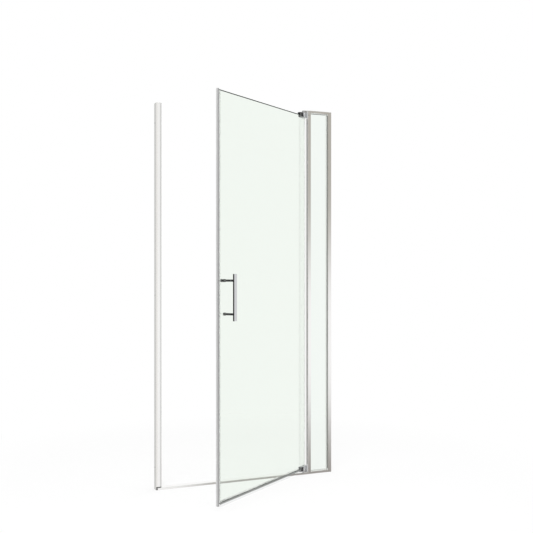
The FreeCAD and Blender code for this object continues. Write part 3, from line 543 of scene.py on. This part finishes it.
# Shanks: threads as shares of the head, then the length and end of a taper as shares of the thread.
FACE_THREAD_SHARE = 0.5
LOCK_THREAD_SHARE = 0.45
FACE_TAPER_SHARES = (2 / 3, 0.5)
CLAMP_TAPER_SHARES = (0.35, 0.65)
STUD_TAPER_SHARES = (0.3, 0.7)
STUD_RIM_SHARE = 0.8
STUD_EDGE_SHARE = 0.3
LOCK_SHANK = 1.2 * MM


def corners(node):
    """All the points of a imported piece."""
    return [vert.co.copy() for vert in frame["nodes"][node].data.vertices]


def span(points, axis):
    """The least and the greatest reach of some points along an axis."""
    along = [point.dot(axis) for point in points]
    return min(along), max(along)


def islands(node):
    """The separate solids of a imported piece, each as its list of points."""
    shell = bmesh.new()
    shell.from_mesh(frame["nodes"][node].data)
    bmesh.ops.remove_doubles(shell, verts=shell.verts, dist=WELD)
    left = set(shell.verts)
    found = []
    while left:
        start = left.pop()
        group, edge = [start], [start]
        while edge:
            vert = edge.pop()
            for link in vert.link_edges:
                other = link.other_vert(vert)
                if other in left:
                    left.remove(other)
                    group.append(other)
                    edge.append(other)
        found.append([vert.co.copy() for vert in group])
    shell.free()
    return found


def screw_seat(points, out):
    """Where the head of a packed screw ends, and its span along the axis that points out of the head."""
    side = out.cross(UP).normalized()
    low, high = span(points, out)
    top = out * high
    for axis in (side, UP):
        top += axis * (sum(span(points, axis)) / 2)
    return top, high - low


def cross_outline(reach):
    """A cross recess, seen along the screw."""
    arm = reach * CROSS_ARM_SHARE
    corner = [(arm, reach), (-arm, reach), (-arm, arm)]
    turned = []
    for quarter in range(4):
        angle = quarter * math.pi / 2
        cosine, sine = math.cos(angle), math.sin(angle)
        turned += [(x * cosine - y * sine, x * sine + y * cosine) for x, y in corner]
    return turned


def hex_outline(reach):
    """A hexagon recess, seen along the screw."""
    return [(reach * math.cos(k * math.pi / 3), reach * math.sin(k * math.pi / 3)) for k in range(6)]


def ring(shell, radius, height):
    turns = [2 * math.pi * k / TURNED_SIDES for k in range(TURNED_SIDES)]
    return [shell.verts.new((radius * math.cos(a), radius * math.sin(a), height)) for a in turns]


def wall_between(shell, first, second):
    count = len(first)
    for k in range(count):
        shell.faces.new((first[k], first[(k + 1) % count], second[(k + 1) % count], second[k]))


def loop_edges(shell, verts):
    return [shell.edges.get((verts[k - 1], verts[k])) for k in range(len(verts))]


def domed_head(radius, height, mouth):
    """Rings of a pan head from the edge of its recess down to its seat."""
    return [(mouth, 0.0)] + [(radius * across, -height * down) for across, down in DOME_SHARES]


def tapered_shank(thread, below, length, taper_shares):
    """Rings of a shank from under the head to a tapered tip."""
    taper, tip = taper_shares
    return [(thread, -below), (thread, thread * taper - length), (thread * tip, -length)]


def add_screw(shell, place, profile, outline, recess):
    """One driven screw, its axis along Z and the top of its head at the origin.

    profile lists (radius, height) from the edge of the recess outwards and down to the tip.
    """
    before = set(shell.verts)
    rings = [ring(shell, radius, height) for radius, height in profile]
    for upper, lower in zip(rings, rings[1:]):
        wall_between(shell, lower, upper)
    shell.faces.new(list(reversed(rings[-1])))
    mouth = [shell.verts.new((x, y, 0.0)) for x, y in outline]
    taper = RECESS_FLOOR_SHARE
    floor = [shell.verts.new((x * taper, y * taper, -recess)) for x, y in outline]
    wall_between(shell, mouth, floor)
    shell.faces.new(floor)
    edges = loop_edges(shell, rings[0]) + loop_edges(shell, mouth)
    bmesh.ops.triangle_fill(shell, use_beauty=True, use_dissolve=False, edges=edges)
    for vert in set(shell.verts) - before:
        vert.co = place @ vert.co


def stood_out(top, out):
    """The place of a screw whose head ends at a point and faces out."""
    side = out.cross(UP).normalized()
    up = out.cross(side)
    turn = Matrix((side, up, out)).transposed().to_4x4()
    return Matrix.Translation(top) @ turn


def make_piece(name, shell, body, material):
    """Turns a shell into a piece of the door that rides on a body."""
    bmesh.ops.recalc_face_normals(shell, faces=shell.faces)
    mesh = bpy.data.meshes.new(name)
    shell.to_mesh(mesh)
    shell.free()
    mesh.shade_smooth()
    mesh.set_sharp_from_angle(angle=SMOOTH_ANGLE)
    piece = bpy.data.objects.new(name, mesh)
    bpy.context.scene.collection.objects.link(piece)
    mesh.materials.append(material)
    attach(piece, body)
    return piece


class ShowerFinishes(bpy.types.PropertyGroup):
    """Tones and gloss of the door's finishes."""

    aluminium: bpy.props.FloatVectorProperty(
        name="Aluminium",
        description="Tone of the bright anodised posts, channels and rails",
        subtype="COLOR",
        default=(0.96, 0.955, 0.945),
        min=0.0,
        max=1.0,
    )
    aluminium_roughness: bpy.props.FloatProperty(
        name="Aluminium roughness",
        description="How far the extrusions blur what they reflect",
        subtype="FACTOR",
        default=0.13,
        min=0.02,
        max=1.0,
    )
    # Arms, handle and standoffs are darker copies of this tone as painted shade.
    chrome: bpy.props.FloatVectorProperty(
        name="Chrome",
        description="Tone of the plated clamps; arms, handle and standoffs are darker by a share",
        subtype="COLOR",
        default=(0.74, 0.75, 0.76),
        min=0.0,
        max=1.0,
    )
    chrome_roughness: bpy.props.FloatProperty(
        name="Chrome roughness",
        description="How far the plating blurs what it reflects",
        subtype="FACTOR",
        default=0.07,
        min=0.01,
        max=1.0,
    )
    glass_tint: bpy.props.FloatVectorProperty(
        name="Leaf tint",
        description="Light that passes straight through the pane of the leaf",
        subtype="COLOR",
        default=(0.880, 0.930, 0.874),
        min=0.0,
        max=1.0,
    )
    panel_tint: bpy.props.FloatVectorProperty(
        name="Panel tint",
        description="Light that passes straight through the fixed pane",
        subtype="COLOR",
        default=(0.896, 0.940, 0.902),
        min=0.0,
        max=1.0,
    )
    # Painted shade: this near-black tone stands in for the dark look of the glass edges.
    glass_edge_shade: bpy.props.FloatVectorProperty(
        name="Glass edge",
        description="Tone of the dark ground edges of a pane",
        subtype="COLOR",
        default=(0.020, 0.030, 0.024),
        min=0.0,
        max=1.0,
    )
    vinyl: bpy.props.FloatVectorProperty(
        name="Vinyl",
        description="Tone of the clear hinge seal, sweep and lips of the strike seal",
        subtype="COLOR",
        default=(1.0, 1.0, 1.0),
        min=0.0,
        max=1.0,
    )
    strike_vinyl: bpy.props.FloatVectorProperty(
        name="Strike vinyl",
        description="Tone of the milky seal round the magnet",
        subtype="COLOR",
        default=(0.57, 0.57, 0.57),
        min=0.0,
        max=1.0,
    )
    glazing: bpy.props.FloatVectorProperty(
        name="Glazing strip",
        description="Tone of the pale strip round the fixed pane",
        subtype="COLOR",
        default=(0.80, 0.81, 0.79),
        min=0.0,
        max=1.0,
    )
    web: bpy.props.FloatVectorProperty(
        name="Sweep web",
        description="Tone of the dark web of the sweep under the glass",
        subtype="COLOR",
        default=(0.30, 0.31, 0.30),
        min=0.0,
        max=1.0,
    )
    cap: bpy.props.FloatVectorProperty(
        name="Caps",
        description="Tone of the moulded post caps",
        subtype="COLOR",
        default=(0.56, 0.55, 0.53),
        min=0.0,
        max=1.0,
    )
    # The foot's dark tone is partly its own plastic and partly painted shade of the gap between jamb and
    # sill.
    foot: bpy.props.FloatVectorProperty(
        name="Foot",
        description="Tone of the dark foot under the strike jamb",
        subtype="COLOR",
        default=(0.11, 0.11, 0.11),
        min=0.0,
        max=1.0,
    )
    bush: bpy.props.FloatVectorProperty(
        name="Pivot bushes",
        description="Tone of the white bushes that the pins turn in",
        subtype="COLOR",
        default=(0.78, 0.78, 0.76),
        min=0.0,
        max=1.0,
    )
    glass_bush: bpy.props.FloatVectorProperty(
        name="Glass bushes",
        description="Tone of the dark bushes of the handle in the glass",
        subtype="COLOR",
        default=(0.0936, 0.0936, 0.0912),
        min=0.0,
        max=1.0,
    )
    magnet: bpy.props.FloatVectorProperty(
        name="Magnets",
        description="Tone of the magnet strips",
        subtype="COLOR",
        default=(0.045, 0.043, 0.042),
        min=0.0,
        max=1.0,
    )
    gasket: bpy.props.FloatVectorProperty(
        name="Gaskets",
        description="Tone of the rubber in the clamps",
        subtype="COLOR",
        default=(0.03, 0.03, 0.03),
        min=0.0,
        max=1.0,
    )
    steel: bpy.props.FloatVectorProperty(
        name="Steel",
        description="Tone of screws, studs and pins",
        subtype="COLOR",
        default=(0.60, 0.59, 0.57),
        min=0.0,
        max=1.0,
    )


class ShowerScrews(bpy.types.PropertyGroup):
    """Sizes of the small fasteners."""

    lock_head: bpy.props.FloatProperty(
        name="Locking head",
        description="Diameter of the heads that lock the posts in the wall channels",
        unit="LENGTH",
        default=8.0 * MM,
        min=4.0 * MM,
        max=12.0 * MM,
    )
    lock_height: bpy.props.FloatProperty(
        name="Locking head height",
        description="Height of those heads above the channel",
        unit="LENGTH",
        default=2.6 * MM,
        min=1.0 * MM,
        max=4.0 * MM,
    )
    lock_inset: bpy.props.FloatProperty(
        name="Locking inset",
        description="End of a channel to its first locking screw",
        unit="LENGTH",
        default=150.0 * MM,
        min=40.0 * MM,
        max=400.0 * MM,
    )
    lock_count: bpy.props.IntProperty(
        name="Locking screws",
        description="Locking screws in each wall channel",
        default=3,
        min=2,
        max=6,
    )
    face_height: bpy.props.FloatProperty(
        name="Face head height",
        description="Height of the round heads on the front of the hinge post",
        unit="LENGTH",
        default=2.0 * MM,
        min=1.0 * MM,
        max=4.0 * MM,
    )
    clamp_head: bpy.props.FloatProperty(
        name="Clamp head",
        description="Diameter of the socket heads sunk in the clamps",
        unit="LENGTH",
        default=7.0 * MM,
        min=4.0 * MM,
        max=7.0 * MM,
    )
    clamp_height: bpy.props.FloatProperty(
        name="Clamp head height",
        description="Height of those socket heads",
        unit="LENGTH",
        default=3.0 * MM,
        min=1.0 * MM,
        max=4.0 * MM,
    )
    clamp_thread: bpy.props.FloatProperty(
        name="Clamp thread",
        description="Diameter of the threads that draw a clamp together",
        unit="LENGTH",
        default=4.0 * MM,
        min=2.0 * MM,
        max=4.0 * MM,
    )
    handle_head: bpy.props.FloatProperty(
        name="Handle head height",
        description="Height of the low head inside the lower end of the handle",
        unit="LENGTH",
        default=2.2 * MM,
        min=1.0 * MM,
        max=6.0 * MM,
    )
    recess_share: bpy.props.FloatProperty(
        name="Recess",
        description="Reach of a drive recess as a share of the head",
        subtype="FACTOR",
        default=0.56,
        min=0.3,
        max=0.7,
    )


class ShowerStage(bpy.types.PropertyGroup):
    """Camera, light and floor."""

    camera_place: bpy.props.FloatVectorProperty(
        name="Camera",
        description="Where the camera stands",
        subtype="TRANSLATION",
        unit="LENGTH",
        default=(-1.4086, -3.7032, 1.0443),
    )
    camera_turn: bpy.props.FloatProperty(
        name="Camera turn",
        description="Turn of the level camera to the right of straight ahead",
        subtype="ANGLE",
        default=math.radians(22.26),
    )
    lens: bpy.props.FloatProperty(
        name="Lens",
        description="Focal length on a 36 mm sensor, in millimetres",
        default=54.63,
        min=20.0,
        max=200.0,
    )
    ambient: bpy.props.FloatProperty(
        name="Ambient",
        description="Light from all round on dull surfaces",
        default=0.55,
        min=0.0,
        max=2.0,
    )
    overhead: bpy.props.FloatProperty(
        name="Overhead softbox",
        description="Power of the softbox above the door",
        unit="POWER",
        default=70.0,
        min=0.0,
        max=1000.0,
    )
    front: bpy.props.FloatProperty(
        name="Front softbox",
        description="Power of the softbox in front and to the left",
        unit="POWER",
        default=110.0,
        min=0.0,
        max=1000.0,
    )
    shadow: bpy.props.FloatProperty(
        name="Floor shadow",
        description="How far the floor shows the door's shadow",
        subtype="FACTOR",
        default=0.22,
        min=0.0,
        max=1.0,
    )
    floor_radius: bpy.props.FloatProperty(
        name="Floor radius",
        description="Reach of the floor from the middle of the door",
        unit="LENGTH",
        default=1.9,
        min=1.0,
        max=20.0,
    )


class SHOWER_OT_wall_channels(bpy.types.Operator):
    """Bright aluminium on the two channels that are screwed to the walls"""

    bl_idname = "shower.wall_channels"
    bl_label = "Wall channels"

    def execute(self, context):
        look = context.scene.shower_finishes
        material = drawn_aluminium("channel_aluminium", "Z", look.aluminium, look.aluminium_roughness)
        dress(material, "left_wall_channel", "right_wall_channel")
        return {"FINISHED"}


class SHOWER_OT_posts(bpy.types.Operator):
    """Bright aluminium on the two posts of the fixed panel, and a greyer one on the strike post"""

    bl_idname = "shower.posts"
    bl_label = "Posts"

    def execute(self, context):
        look = context.scene.shower_finishes
        bright = drawn_aluminium("post_aluminium", "Z", look.aluminium, look.aluminium_roughness)
        dress(bright, "hinge_post", "wall_post")
        greyer = shade(look.aluminium, STRIKE_POST_SHARE)
        dress(drawn_aluminium("strike_aluminium", "Z", greyer, look.aluminium_roughness), "strike_post")
        return {"FINISHED"}


class SHOWER_OT_rails(bpy.types.Operator):
    """Bright aluminium on the sill and the two rails of the fixed panel"""

    bl_idname = "shower.rails"
    bl_label = "Sill and rails"

    def execute(self, context):
        look = context.scene.shower_finishes
        material = drawn_aluminium("rail_aluminium", "X", look.aluminium, look.aluminium_roughness)
        dress(material, "sill", "panel_bottom_rail", "panel_top_rail")
        return {"FINISHED"}


class SHOWER_OT_panes(bpy.types.Operator):
    """Tempered glass on the leaf and the fixed panel"""

    bl_idname = "shower.panes"
    bl_label = "Panes"

    def execute(self, context):
        look = context.scene.shower_finishes
        leaf = ("door_glass", look.glass_tint, LEAF_OUT, LEAF_ALONG)
        panel = ("panel_glass", look.panel_tint, OUTSIDE, TO_THE_WALL)
        for node, tint, out, along in (leaf, panel):
            ends = span(corners(node), along)
            _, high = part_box(node)
            material = tempered_glass(node + "_clear", tint, look.glass_edge_shade, out, high.z, along, ends)
            dress(material, node)
            let_light_through(node)
        return {"FINISHED"}


class SHOWER_OT_seals(bpy.types.Operator):
    """Clear seals and sweep, with a milky bulb and a dark web, and the pale glazing strip"""

    bl_idname = "shower.seals"
    bl_label = "Seals"

    def execute(self, context):
        look = context.scene.shower_finishes
        glass_low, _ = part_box("door_glass")
        _, glass_end = span(corners("door_glass"), LEAF_ALONG)
        lip_end = glass_end - PIVOT.dot(LEAF_ALONG) + LIP_REACH
        dress(strike_vinyl("strike_vinyl", look.strike_vinyl, look.vinyl, lip_end), "strike_seal")
        dress(upright_vinyl("hinge_vinyl", look.vinyl, True), "hinge_seal")
        dress(upright_vinyl("glazing_vinyl", look.glazing, False), "panel_glazing_vinyl")
        web_low, web_high = glass_low.z - WEB_FAR, glass_low.z - WEB_NEAR
        dress(sweep_vinyl("sweep_vinyl", look.vinyl, look.web, web_low, web_high), "door_sweep")
        let_light_through("strike_seal", "hinge_seal", "panel_glazing_vinyl", "door_sweep")
        return {"FINISHED"}


class SHOWER_OT_magnets(bpy.types.Operator):
    """Dull dark magnet strip in the strike post and in the seal that meets it"""

    bl_idname = "shower.magnets"
    bl_label = "Magnets"

    def execute(self, context):
        look = context.scene.shower_finishes
        dress(moulded("magnet_strip", look.magnet), "strike_magnet", "strike_seal_magnet")
        return {"FINISHED"}


class SHOWER_OT_caps(bpy.types.Operator):
    """Grey moulded caps on the posts and a dark foot of the strike jamb, whose tone is partly painted shade
    """

    bl_idname = "shower.caps"
    bl_label = "Caps and foot"

    def execute(self, context):
        look = context.scene.shower_finishes
        dress(moulded("cap_plastic", look.cap), "jamb_cap", "hinge_post_cap", "wall_post_cap")
        # Partly painted shade: the foot's dark tone also stands for the shadow gap between jamb and sill.
        dress(moulded("foot_plastic", look.foot), "jamb_foot")
        return {"FINISHED"}


class SHOWER_OT_pivots(bpy.types.Operator):
    """Plated pivot arms, darkened as painted shade, with white bushes and steel pins"""

    bl_idname = "shower.pivots"
    bl_label = "Pivots"

    def execute(self, context):
        look = context.scene.shower_finishes
        chrome = plated("arm_chrome", look.chrome, look.chrome_roughness)
        dress(chrome, "top_pivot_bracket", "bottom_pivot_bracket")
        dress(moulded("bearing_plastic", look.bush), "top_pivot_bush", "bottom_pivot_bush")
        dress(turned_steel("pin_steel", look.steel), "top_pivot_pin", "bottom_pivot_pin")
        return {"FINISHED"}


class SHOWER_OT_clamps(bpy.types.Operator):
    """Plated clamps with black gaskets against the glass"""

    bl_idname = "shower.clamps"
    bl_label = "Clamps"

    def execute(self, context):
        look = context.scene.shower_finishes
        chrome = plated("clamp_chrome", look.chrome, look.chrome_roughness)
        rubber = moulded("gasket_rubber", look.gasket)
        for end in ("top", "bottom"):
            dress(chrome, end + "_clamp_outer", end + "_clamp_inner")
            dress(rubber, end + "_clamp_gasket")
        return {"FINISHED"}


class SHOWER_OT_handle(bpy.types.Operator):
    """Plated handle, knob and standoffs, darkened as painted shade, with dark bushes in the glass"""

    bl_idname = "shower.handle"
    bl_label = "Handle"

    def execute(self, context):
        look = context.scene.shower_finishes
        chrome = plated("handle_chrome", look.chrome, look.chrome_roughness)
        dress(chrome, "handle_bar", "inside_knob")
        # Painted shade: the standoffs take well under half the chrome's tone.
        dark = plated("standoff_chrome", look.chrome, look.chrome_roughness)
        dress(dark, "upper_standoff", "lower_standoff")
        dress(moulded("glass_bush_plastic", look.glass_bush), "handle_bushes")
        return {"FINISHED"}


class SHOWER_OT_handle_screws(bpy.types.Operator):
    """Low socket screw in the lower end of the handle, and the stud of the knob in its upper end"""

    bl_idname = "shower.handle_screws"
    bl_label = "Handle screws"

    def execute(self, context):
        look = context.scene.shower_finishes
        sizes = context.scene.shower_screws
        nut = corners("inside_cap_nut")
        seat, _ = span(nut, -LEAF_OUT)
        nut_low, nut_high = span(nut, UP)
        shell = bmesh.new()
        for points in islands("handle_studs"):
            top, length = screw_seat(points, -LEAF_OUT)
            low, high = span(points, UP)
            thread = (high - low) / 2
            reach = thread * sizes.recess_share
            if nut_low < top.z < nut_high:
                sunk = -top.dot(LEAF_OUT) - seat - sizes.handle_head
                top += LEAF_OUT * sunk
                length -= sunk
                below = sizes.handle_head
                head = domed_head((nut_high - nut_low) / 2, below, reach * MOUTH_SHARE)
            else:
                below = thread * STUD_EDGE_SHARE
                head = [(reach * MOUTH_SHARE, 0.0), (thread * STUD_RIM_SHARE, 0.0)]
            profile = head + tapered_shank(thread, below, length, STUD_TAPER_SHARES)
            recess = sizes.handle_head * RECESS_DEPTH_SHARE
            add_screw(shell, stood_out(top, -LEAF_OUT), profile, hex_outline(reach), recess)
        material = turned_steel("handle_screw_steel", look.steel)
        piece = make_piece("handle_screws", shell, "door", material)
        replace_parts(piece, "inside_cap_nut", "handle_studs")
        return {"FINISHED"}


class SHOWER_OT_face_screws(bpy.types.Operator):
    """Round-headed cross screws on the front of the hinge post"""

    bl_idname = "shower.face_screws"
    bl_label = "Face screws"

    def execute(self, context):
        look = context.scene.shower_finishes
        sizes = context.scene.shower_screws
        low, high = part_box("post_face_screws")
        radius = (high.x - low.x) / 2
        height = sizes.face_height
        reach = radius * sizes.recess_share
        head = domed_head(radius, height, reach * MOUTH_SHARE)
        shell = bmesh.new()
        for points in islands("post_face_screws"):
            top, length = screw_seat(points, OUTSIDE)
            shank = tapered_shank(radius * FACE_THREAD_SHARE, height, length, FACE_TAPER_SHARES)
            recess = height * RECESS_DEPTH_SHARE
            add_screw(shell, stood_out(top, OUTSIDE), head + shank, cross_outline(reach), recess)
        material = turned_steel("face_screw_steel", look.steel)
        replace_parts(make_piece("face_screws", shell, "frame", material), "post_face_screws")
        return {"FINISHED"}


class SHOWER_OT_clamp_screws(bpy.types.Operator):
    """Socket screws sunk in the inner halves of the clamps"""

    bl_idname = "shower.clamp_screws"
    bl_label = "Clamp screws"

    def execute(self, context):
        look = context.scene.shower_finishes
        sizes = context.scene.shower_screws
        radius = sizes.clamp_head / 2
        height = sizes.clamp_height
        reach = radius * sizes.recess_share
        head = [
            (reach * CLAMP_MOUTH_SHARE, 0.0),
            (radius * CLAMP_RIM_SHARE, 0.0),
            (radius, -height * CLAMP_EDGE_SHARE),
            (radius, -height),
        ]
        shell = bmesh.new()
        for points in islands("clamp_screws"):
            top, length = screw_seat(points, -LEAF_OUT)
            shank = tapered_shank(sizes.clamp_thread / 2, height, length, CLAMP_TAPER_SHARES)
            recess = height * RECESS_DEPTH_SHARE
            add_screw(shell, stood_out(top, -LEAF_OUT), head + shank, hex_outline(reach), recess)
        material = turned_steel("clamp_screw_steel", look.steel)
        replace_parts(make_piece("clamp_socket_screws", shell, "door", material), "clamp_screws")
        return {"FINISHED"}


class SHOWER_OT_locking_screws(bpy.types.Operator):
    """Cross screws on the shower side that lock the posts in the wall channels"""

    bl_idname = "shower.locking_screws"
    bl_label = "Locking screws"

    def execute(self, context):
        look = context.scene.shower_finishes
        sizes = context.scene.shower_screws
        radius = sizes.lock_head / 2
        thread = radius * LOCK_THREAD_SHARE
        height = sizes.lock_height
        reach = radius * sizes.recess_share
        recess = height * LOCK_RECESS_DEPTH_SHARE
        profile = domed_head(radius, height, reach * MOUTH_SHARE)
        profile += [(thread, -height), (thread, -height - LOCK_SHANK)]
        shell = bmesh.new()
        for node in ("left_wall_channel", "right_wall_channel"):
            low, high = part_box(node)
            rise = (high.z - low.z - 2 * sizes.lock_inset) / (sizes.lock_count - 1)
            for number in range(sizes.lock_count):
                level = low.z + sizes.lock_inset + rise * number
                top = Vector(((low.x + high.x) / 2, high.y + height, level))
                add_screw(shell, stood_out(top, INSIDE), profile, cross_outline(reach), recess)
        material = turned_steel("locking_screw_steel", look.steel)
        make_piece("locking_screws", shell, "frame", material)
        return {"FINISHED"}


# Place, aim and width of each softbox, in metres.
SOFTBOXES = {
    "overhead": ((0.1, -0.5, 3.6), (0.0, -0.1, 0.9), 3.0),
    "front": ((-2.6, -4.2, 2.4), (0.0, 0.0, 0.9), 2.6),
}
SENSOR_WIDTH = 36.0
FLOOR_SIDES = 96
FLOOR_TONE = (0.92, 0.92, 0.92)
# Where the shadow on the floor begins to fade and is gone, as shares of the floor's radius.
FLOOR_FADE_SHARES = (0.45, 0.95)
# Counts of mirrorings between which there is just one.
MIRRORED_ONCE = (0.5, 1.5)

BLACK_FLAG = (0.03, 0.03, 0.03)
ALL_HEIGHTS = (-3.0, -2.0, 2.0, 3.0)
LEFT_HIGH = (-155.0, -145.0, -60.0, -40.0)
RIGHT_FRONT = (17.1, 17.9, 45.0, 70.0)
FAR_RIGHT = (70.0, 76.0, 85.6, 87.4)
STEEP_UP = (0.50, 0.60, 0.86, 0.92)
STEEP_DOWN = (-0.92, -0.86, -0.60, -0.50)
# Soft flags round the white studio that metal mirrors. Each has the bearings where it begins, is full,
# fades and ends, in degrees from straight out of the door and + to its right, the same for its rise,
# and its tone.
FLAGS = (
    ((-176.0, -170.0, -162.0, -158.0), ALL_HEIGHTS, (0.62, 0.62, 0.61)),
    ((-110.0, -104.0, -78.0, -68.0), ALL_HEIGHTS, BLACK_FLAG),
    (LEFT_HIGH, STEEP_UP, BLACK_FLAG),
    (LEFT_HIGH, STEEP_DOWN, BLACK_FLAG),
    ((-60.0, -40.0, 10.0, 12.0), ALL_HEIGHTS, (0.86, 0.85, 0.83)),
    ((-60.0, -40.0, -3.0, 3.0), ALL_HEIGHTS, (0.50, 0.49, 0.47)),
    ((13.0, 24.0, 45.0, 70.0), (-0.06, 0.09, 2.0, 3.0), (0.47, 0.45, 0.41)),
    (RIGHT_FRONT, (-3.0, -2.0, -0.26, -0.13), (0.26, 0.24, 0.22)),
    (FAR_RIGHT, (0.07, 0.13, 2.0, 3.0), BLACK_FLAG),
    (FAR_RIGHT, (-3.0, -2.0, -0.13, -0.07), BLACK_FLAG),
    ((110.0, 118.0, 134.0, 144.0), ALL_HEIGHTS, (0.40, 0.40, 0.40)),
    ((118.0, 132.0, 172.0, 178.0), (-3.0, -2.0, -0.12, -0.05), (0.22, 0.22, 0.22)),
)
# What is mirrored past a pane or a seal: a dark flag on the left, and plain white in front and behind.
PANE_FLAGS = (
    ((-176.0, -170.0, -60.0, -40.0), (0.15, 0.15, 0.14)),
    ((8.0, 12.0, 60.0, 80.0), WHITE),
    ((100.0, 108.0, 176.0, 179.0), WHITE),
)


class SHOWER_OT_stage(bpy.types.Operator):
    """Camera, white surround, soft light and a floor that keeps the shadow"""

    bl_idname = "shower.stage"
    bl_label = "Stage"

    def execute(self, context):
        stage = context.scene.shower_stage
        self.set_camera(context.scene, stage)
        self.set_surround(context.scene, stage)
        for name, (place, aim, width) in SOFTBOXES.items():
            self.set_lamp(context.scene, name + "_softbox", place, aim, width, getattr(stage, name))
        self.set_floor(context.scene, stage)
        context.scene.view_settings.view_transform = "Standard"
        return {"FINISHED"}

    def set_camera(self, scene, stage):
        lens = bpy.data.cameras.new("door_camera")
        lens.lens = stage.lens
        lens.sensor_width = SENSOR_WIDTH
        camera = bpy.data.objects.new("door_camera", lens)
        camera.location = stage.camera_place
        camera.rotation_euler = (math.pi / 2, 0.0, -stage.camera_turn)
        scene.collection.objects.link(camera)
        scene.camera = camera

    def set_lamp(self, scene, name, place, aim, width, power):
        lamp = bpy.data.lights.new(name, "AREA")
        lamp.shape = "SQUARE"
        lamp.size = width
        lamp.energy = power
        holder = bpy.data.objects.new(name, lamp)
        holder.location = place
        holder.rotation_euler = (Vector(aim) - Vector(place)).to_track_quat("-Z", "Y").to_euler()
        holder.visible_glossy = False
        holder.visible_transmission = False
        scene.collection.objects.link(holder)

    def path(self, finish, kind):
        """1 on rays of a kind."""
        return finish.node("ShaderNodeLightPath", output="Is %s Ray" % kind)

    def seen(self, finish):
        """1 for what the camera sees, straight, mirrored or through glass."""
        return self.path(finish, "Camera") | self.path(finish, "Glossy") | self.path(finish, "Transmission")

    def mirrored(self, finish):
        """1 for what is mirrored once."""
        count = finish.node("ShaderNodeLightPath", output="Glossy Depth")
        least, most = MIRRORED_ONCE
        return (count > least) * (count < most)

    def set_surround(self, scene, stage):
        world = bpy.data.worlds.new("studio")
        scene.world = world
        world.cycles.sampling_method = "NONE"
        finish = Finish(world)
        way = finish.node("ShaderNodeTexCoord", output="Generated")
        right, ahead, rise = (
            finish.node("ShaderNodeSeparateXYZ", None, {"Vector": way}, output=axis) for axis in "XYZ"
        )
        bearing = right.maths("ARCTAN2", right, -1.0 * ahead) * math.degrees(1.0)
        around = WHITE
        for bearings, rises, tone in FLAGS:
            inside = finish.window(bearing, *bearings) * finish.window(rise, *rises)
            around = finish.tones(inside, around, tone)
        through = self.path(finish, "Transmission")
        for bearings, tone in PANE_FLAGS:
            around = finish.tones(through * finish.window(bearing, *bearings), around, tone)
        shown = finish.tones(self.mirrored(finish), WHITE, around)
        in_glass = self.path(finish, "Reflection") * self.path(finish, "Singular")
        shown = finish.tones(in_glass, shown, WHITE)
        white = finish.node("ShaderNodeBackground", None, {"Color": shown, "Strength": 1.0})
        ambient = finish.node("ShaderNodeBackground", None, {"Color": WHITE, "Strength": stage.ambient})
        finish.show(finish.blend(self.seen(finish), ambient, white))

    def set_floor(self, scene, stage):
        shell = bmesh.new()
        bmesh.ops.create_circle(shell, cap_ends=True, segments=FLOOR_SIDES, radius=stage.floor_radius)
        mesh = bpy.data.meshes.new("studio_floor")
        shell.to_mesh(mesh)
        shell.free()
        floor = bpy.data.objects.new("studio_floor", mesh)
        scene.collection.objects.link(floor)
        finish = Finish(bpy.data.materials.new("studio_floor"))
        spot = finish.place()
        reach = finish.node("ShaderNodeVectorMath", {"operation": "LENGTH"}, {0: spot}, output="Value")
        near = 1.0 - finish.step(reach, *(stage.floor_radius * share for share in FLOOR_FADE_SHARES))
        dull = finish.node("ShaderNodeBsdfDiffuse", None, {"Color": FLOOR_TONE})
        white = finish.node("ShaderNodeEmission", None, {"Color": WHITE, "Strength": 1.0})
        shown = finish.blend(near * stage.shadow, white, dull)
        shown = finish.blend(self.seen(finish), dull, shown)
        nothing = finish.node("ShaderNodeBsdfTransparent")
        mesh.materials.append(finish.show(finish.blend(self.mirrored(finish), shown, nothing)))


class SHOWER_PT_door(bpy.types.Panel):
    """Lists the steps and the values of the shower door"""

    bl_label = "Shower door"
    bl_idname = "SHOWER_PT_door"
    bl_space_type = "VIEW_3D"
    bl_region_type = "UI"
    bl_category = "Shower"

    def draw(self, context):
        for step in STEPS:
            self.layout.operator(step.bl_idname)
        for name in GROUPS:
            group = getattr(context.scene, name)
            box = self.layout.box()
            for value in group.__annotations__:
                box.prop(group, value)


STEPS = (
    SHOWER_OT_wall_channels,
    SHOWER_OT_posts,
    SHOWER_OT_rails,
    SHOWER_OT_panes,
    SHOWER_OT_seals,
    SHOWER_OT_magnets,
    SHOWER_OT_caps,
    SHOWER_OT_pivots,
    SHOWER_OT_clamps,
    SHOWER_OT_handle,
    SHOWER_OT_handle_screws,
    SHOWER_OT_face_screws,
    SHOWER_OT_clamp_screws,
    SHOWER_OT_locking_screws,
    SHOWER_OT_stage,
)
GROUPS = {
    "shower_finishes": ShowerFinishes,
    "shower_screws": ShowerScrews,
    "shower_stage": ShowerStage,
}


def register():
    for group in (*GROUPS.values(), *STEPS, SHOWER_PT_door):
        bpy.utils.register_class(group)
    for name, group in GROUPS.items():
        setattr(bpy.types.Scene, name, bpy.props.PointerProperty(type=group))


def unregister():
    for name in GROUPS:
        delattr(bpy.types.Scene, name)
    for group in reversed((*GROUPS.values(), *STEPS, SHOWER_PT_door)):
        bpy.utils.unregister_class(group)


def main():
    register()
    for step in STEPS:
        family, name = step.bl_idname.split(".")
        getattr(getattr(bpy.ops, family), name)()


if __name__ == "__main__":
    main()
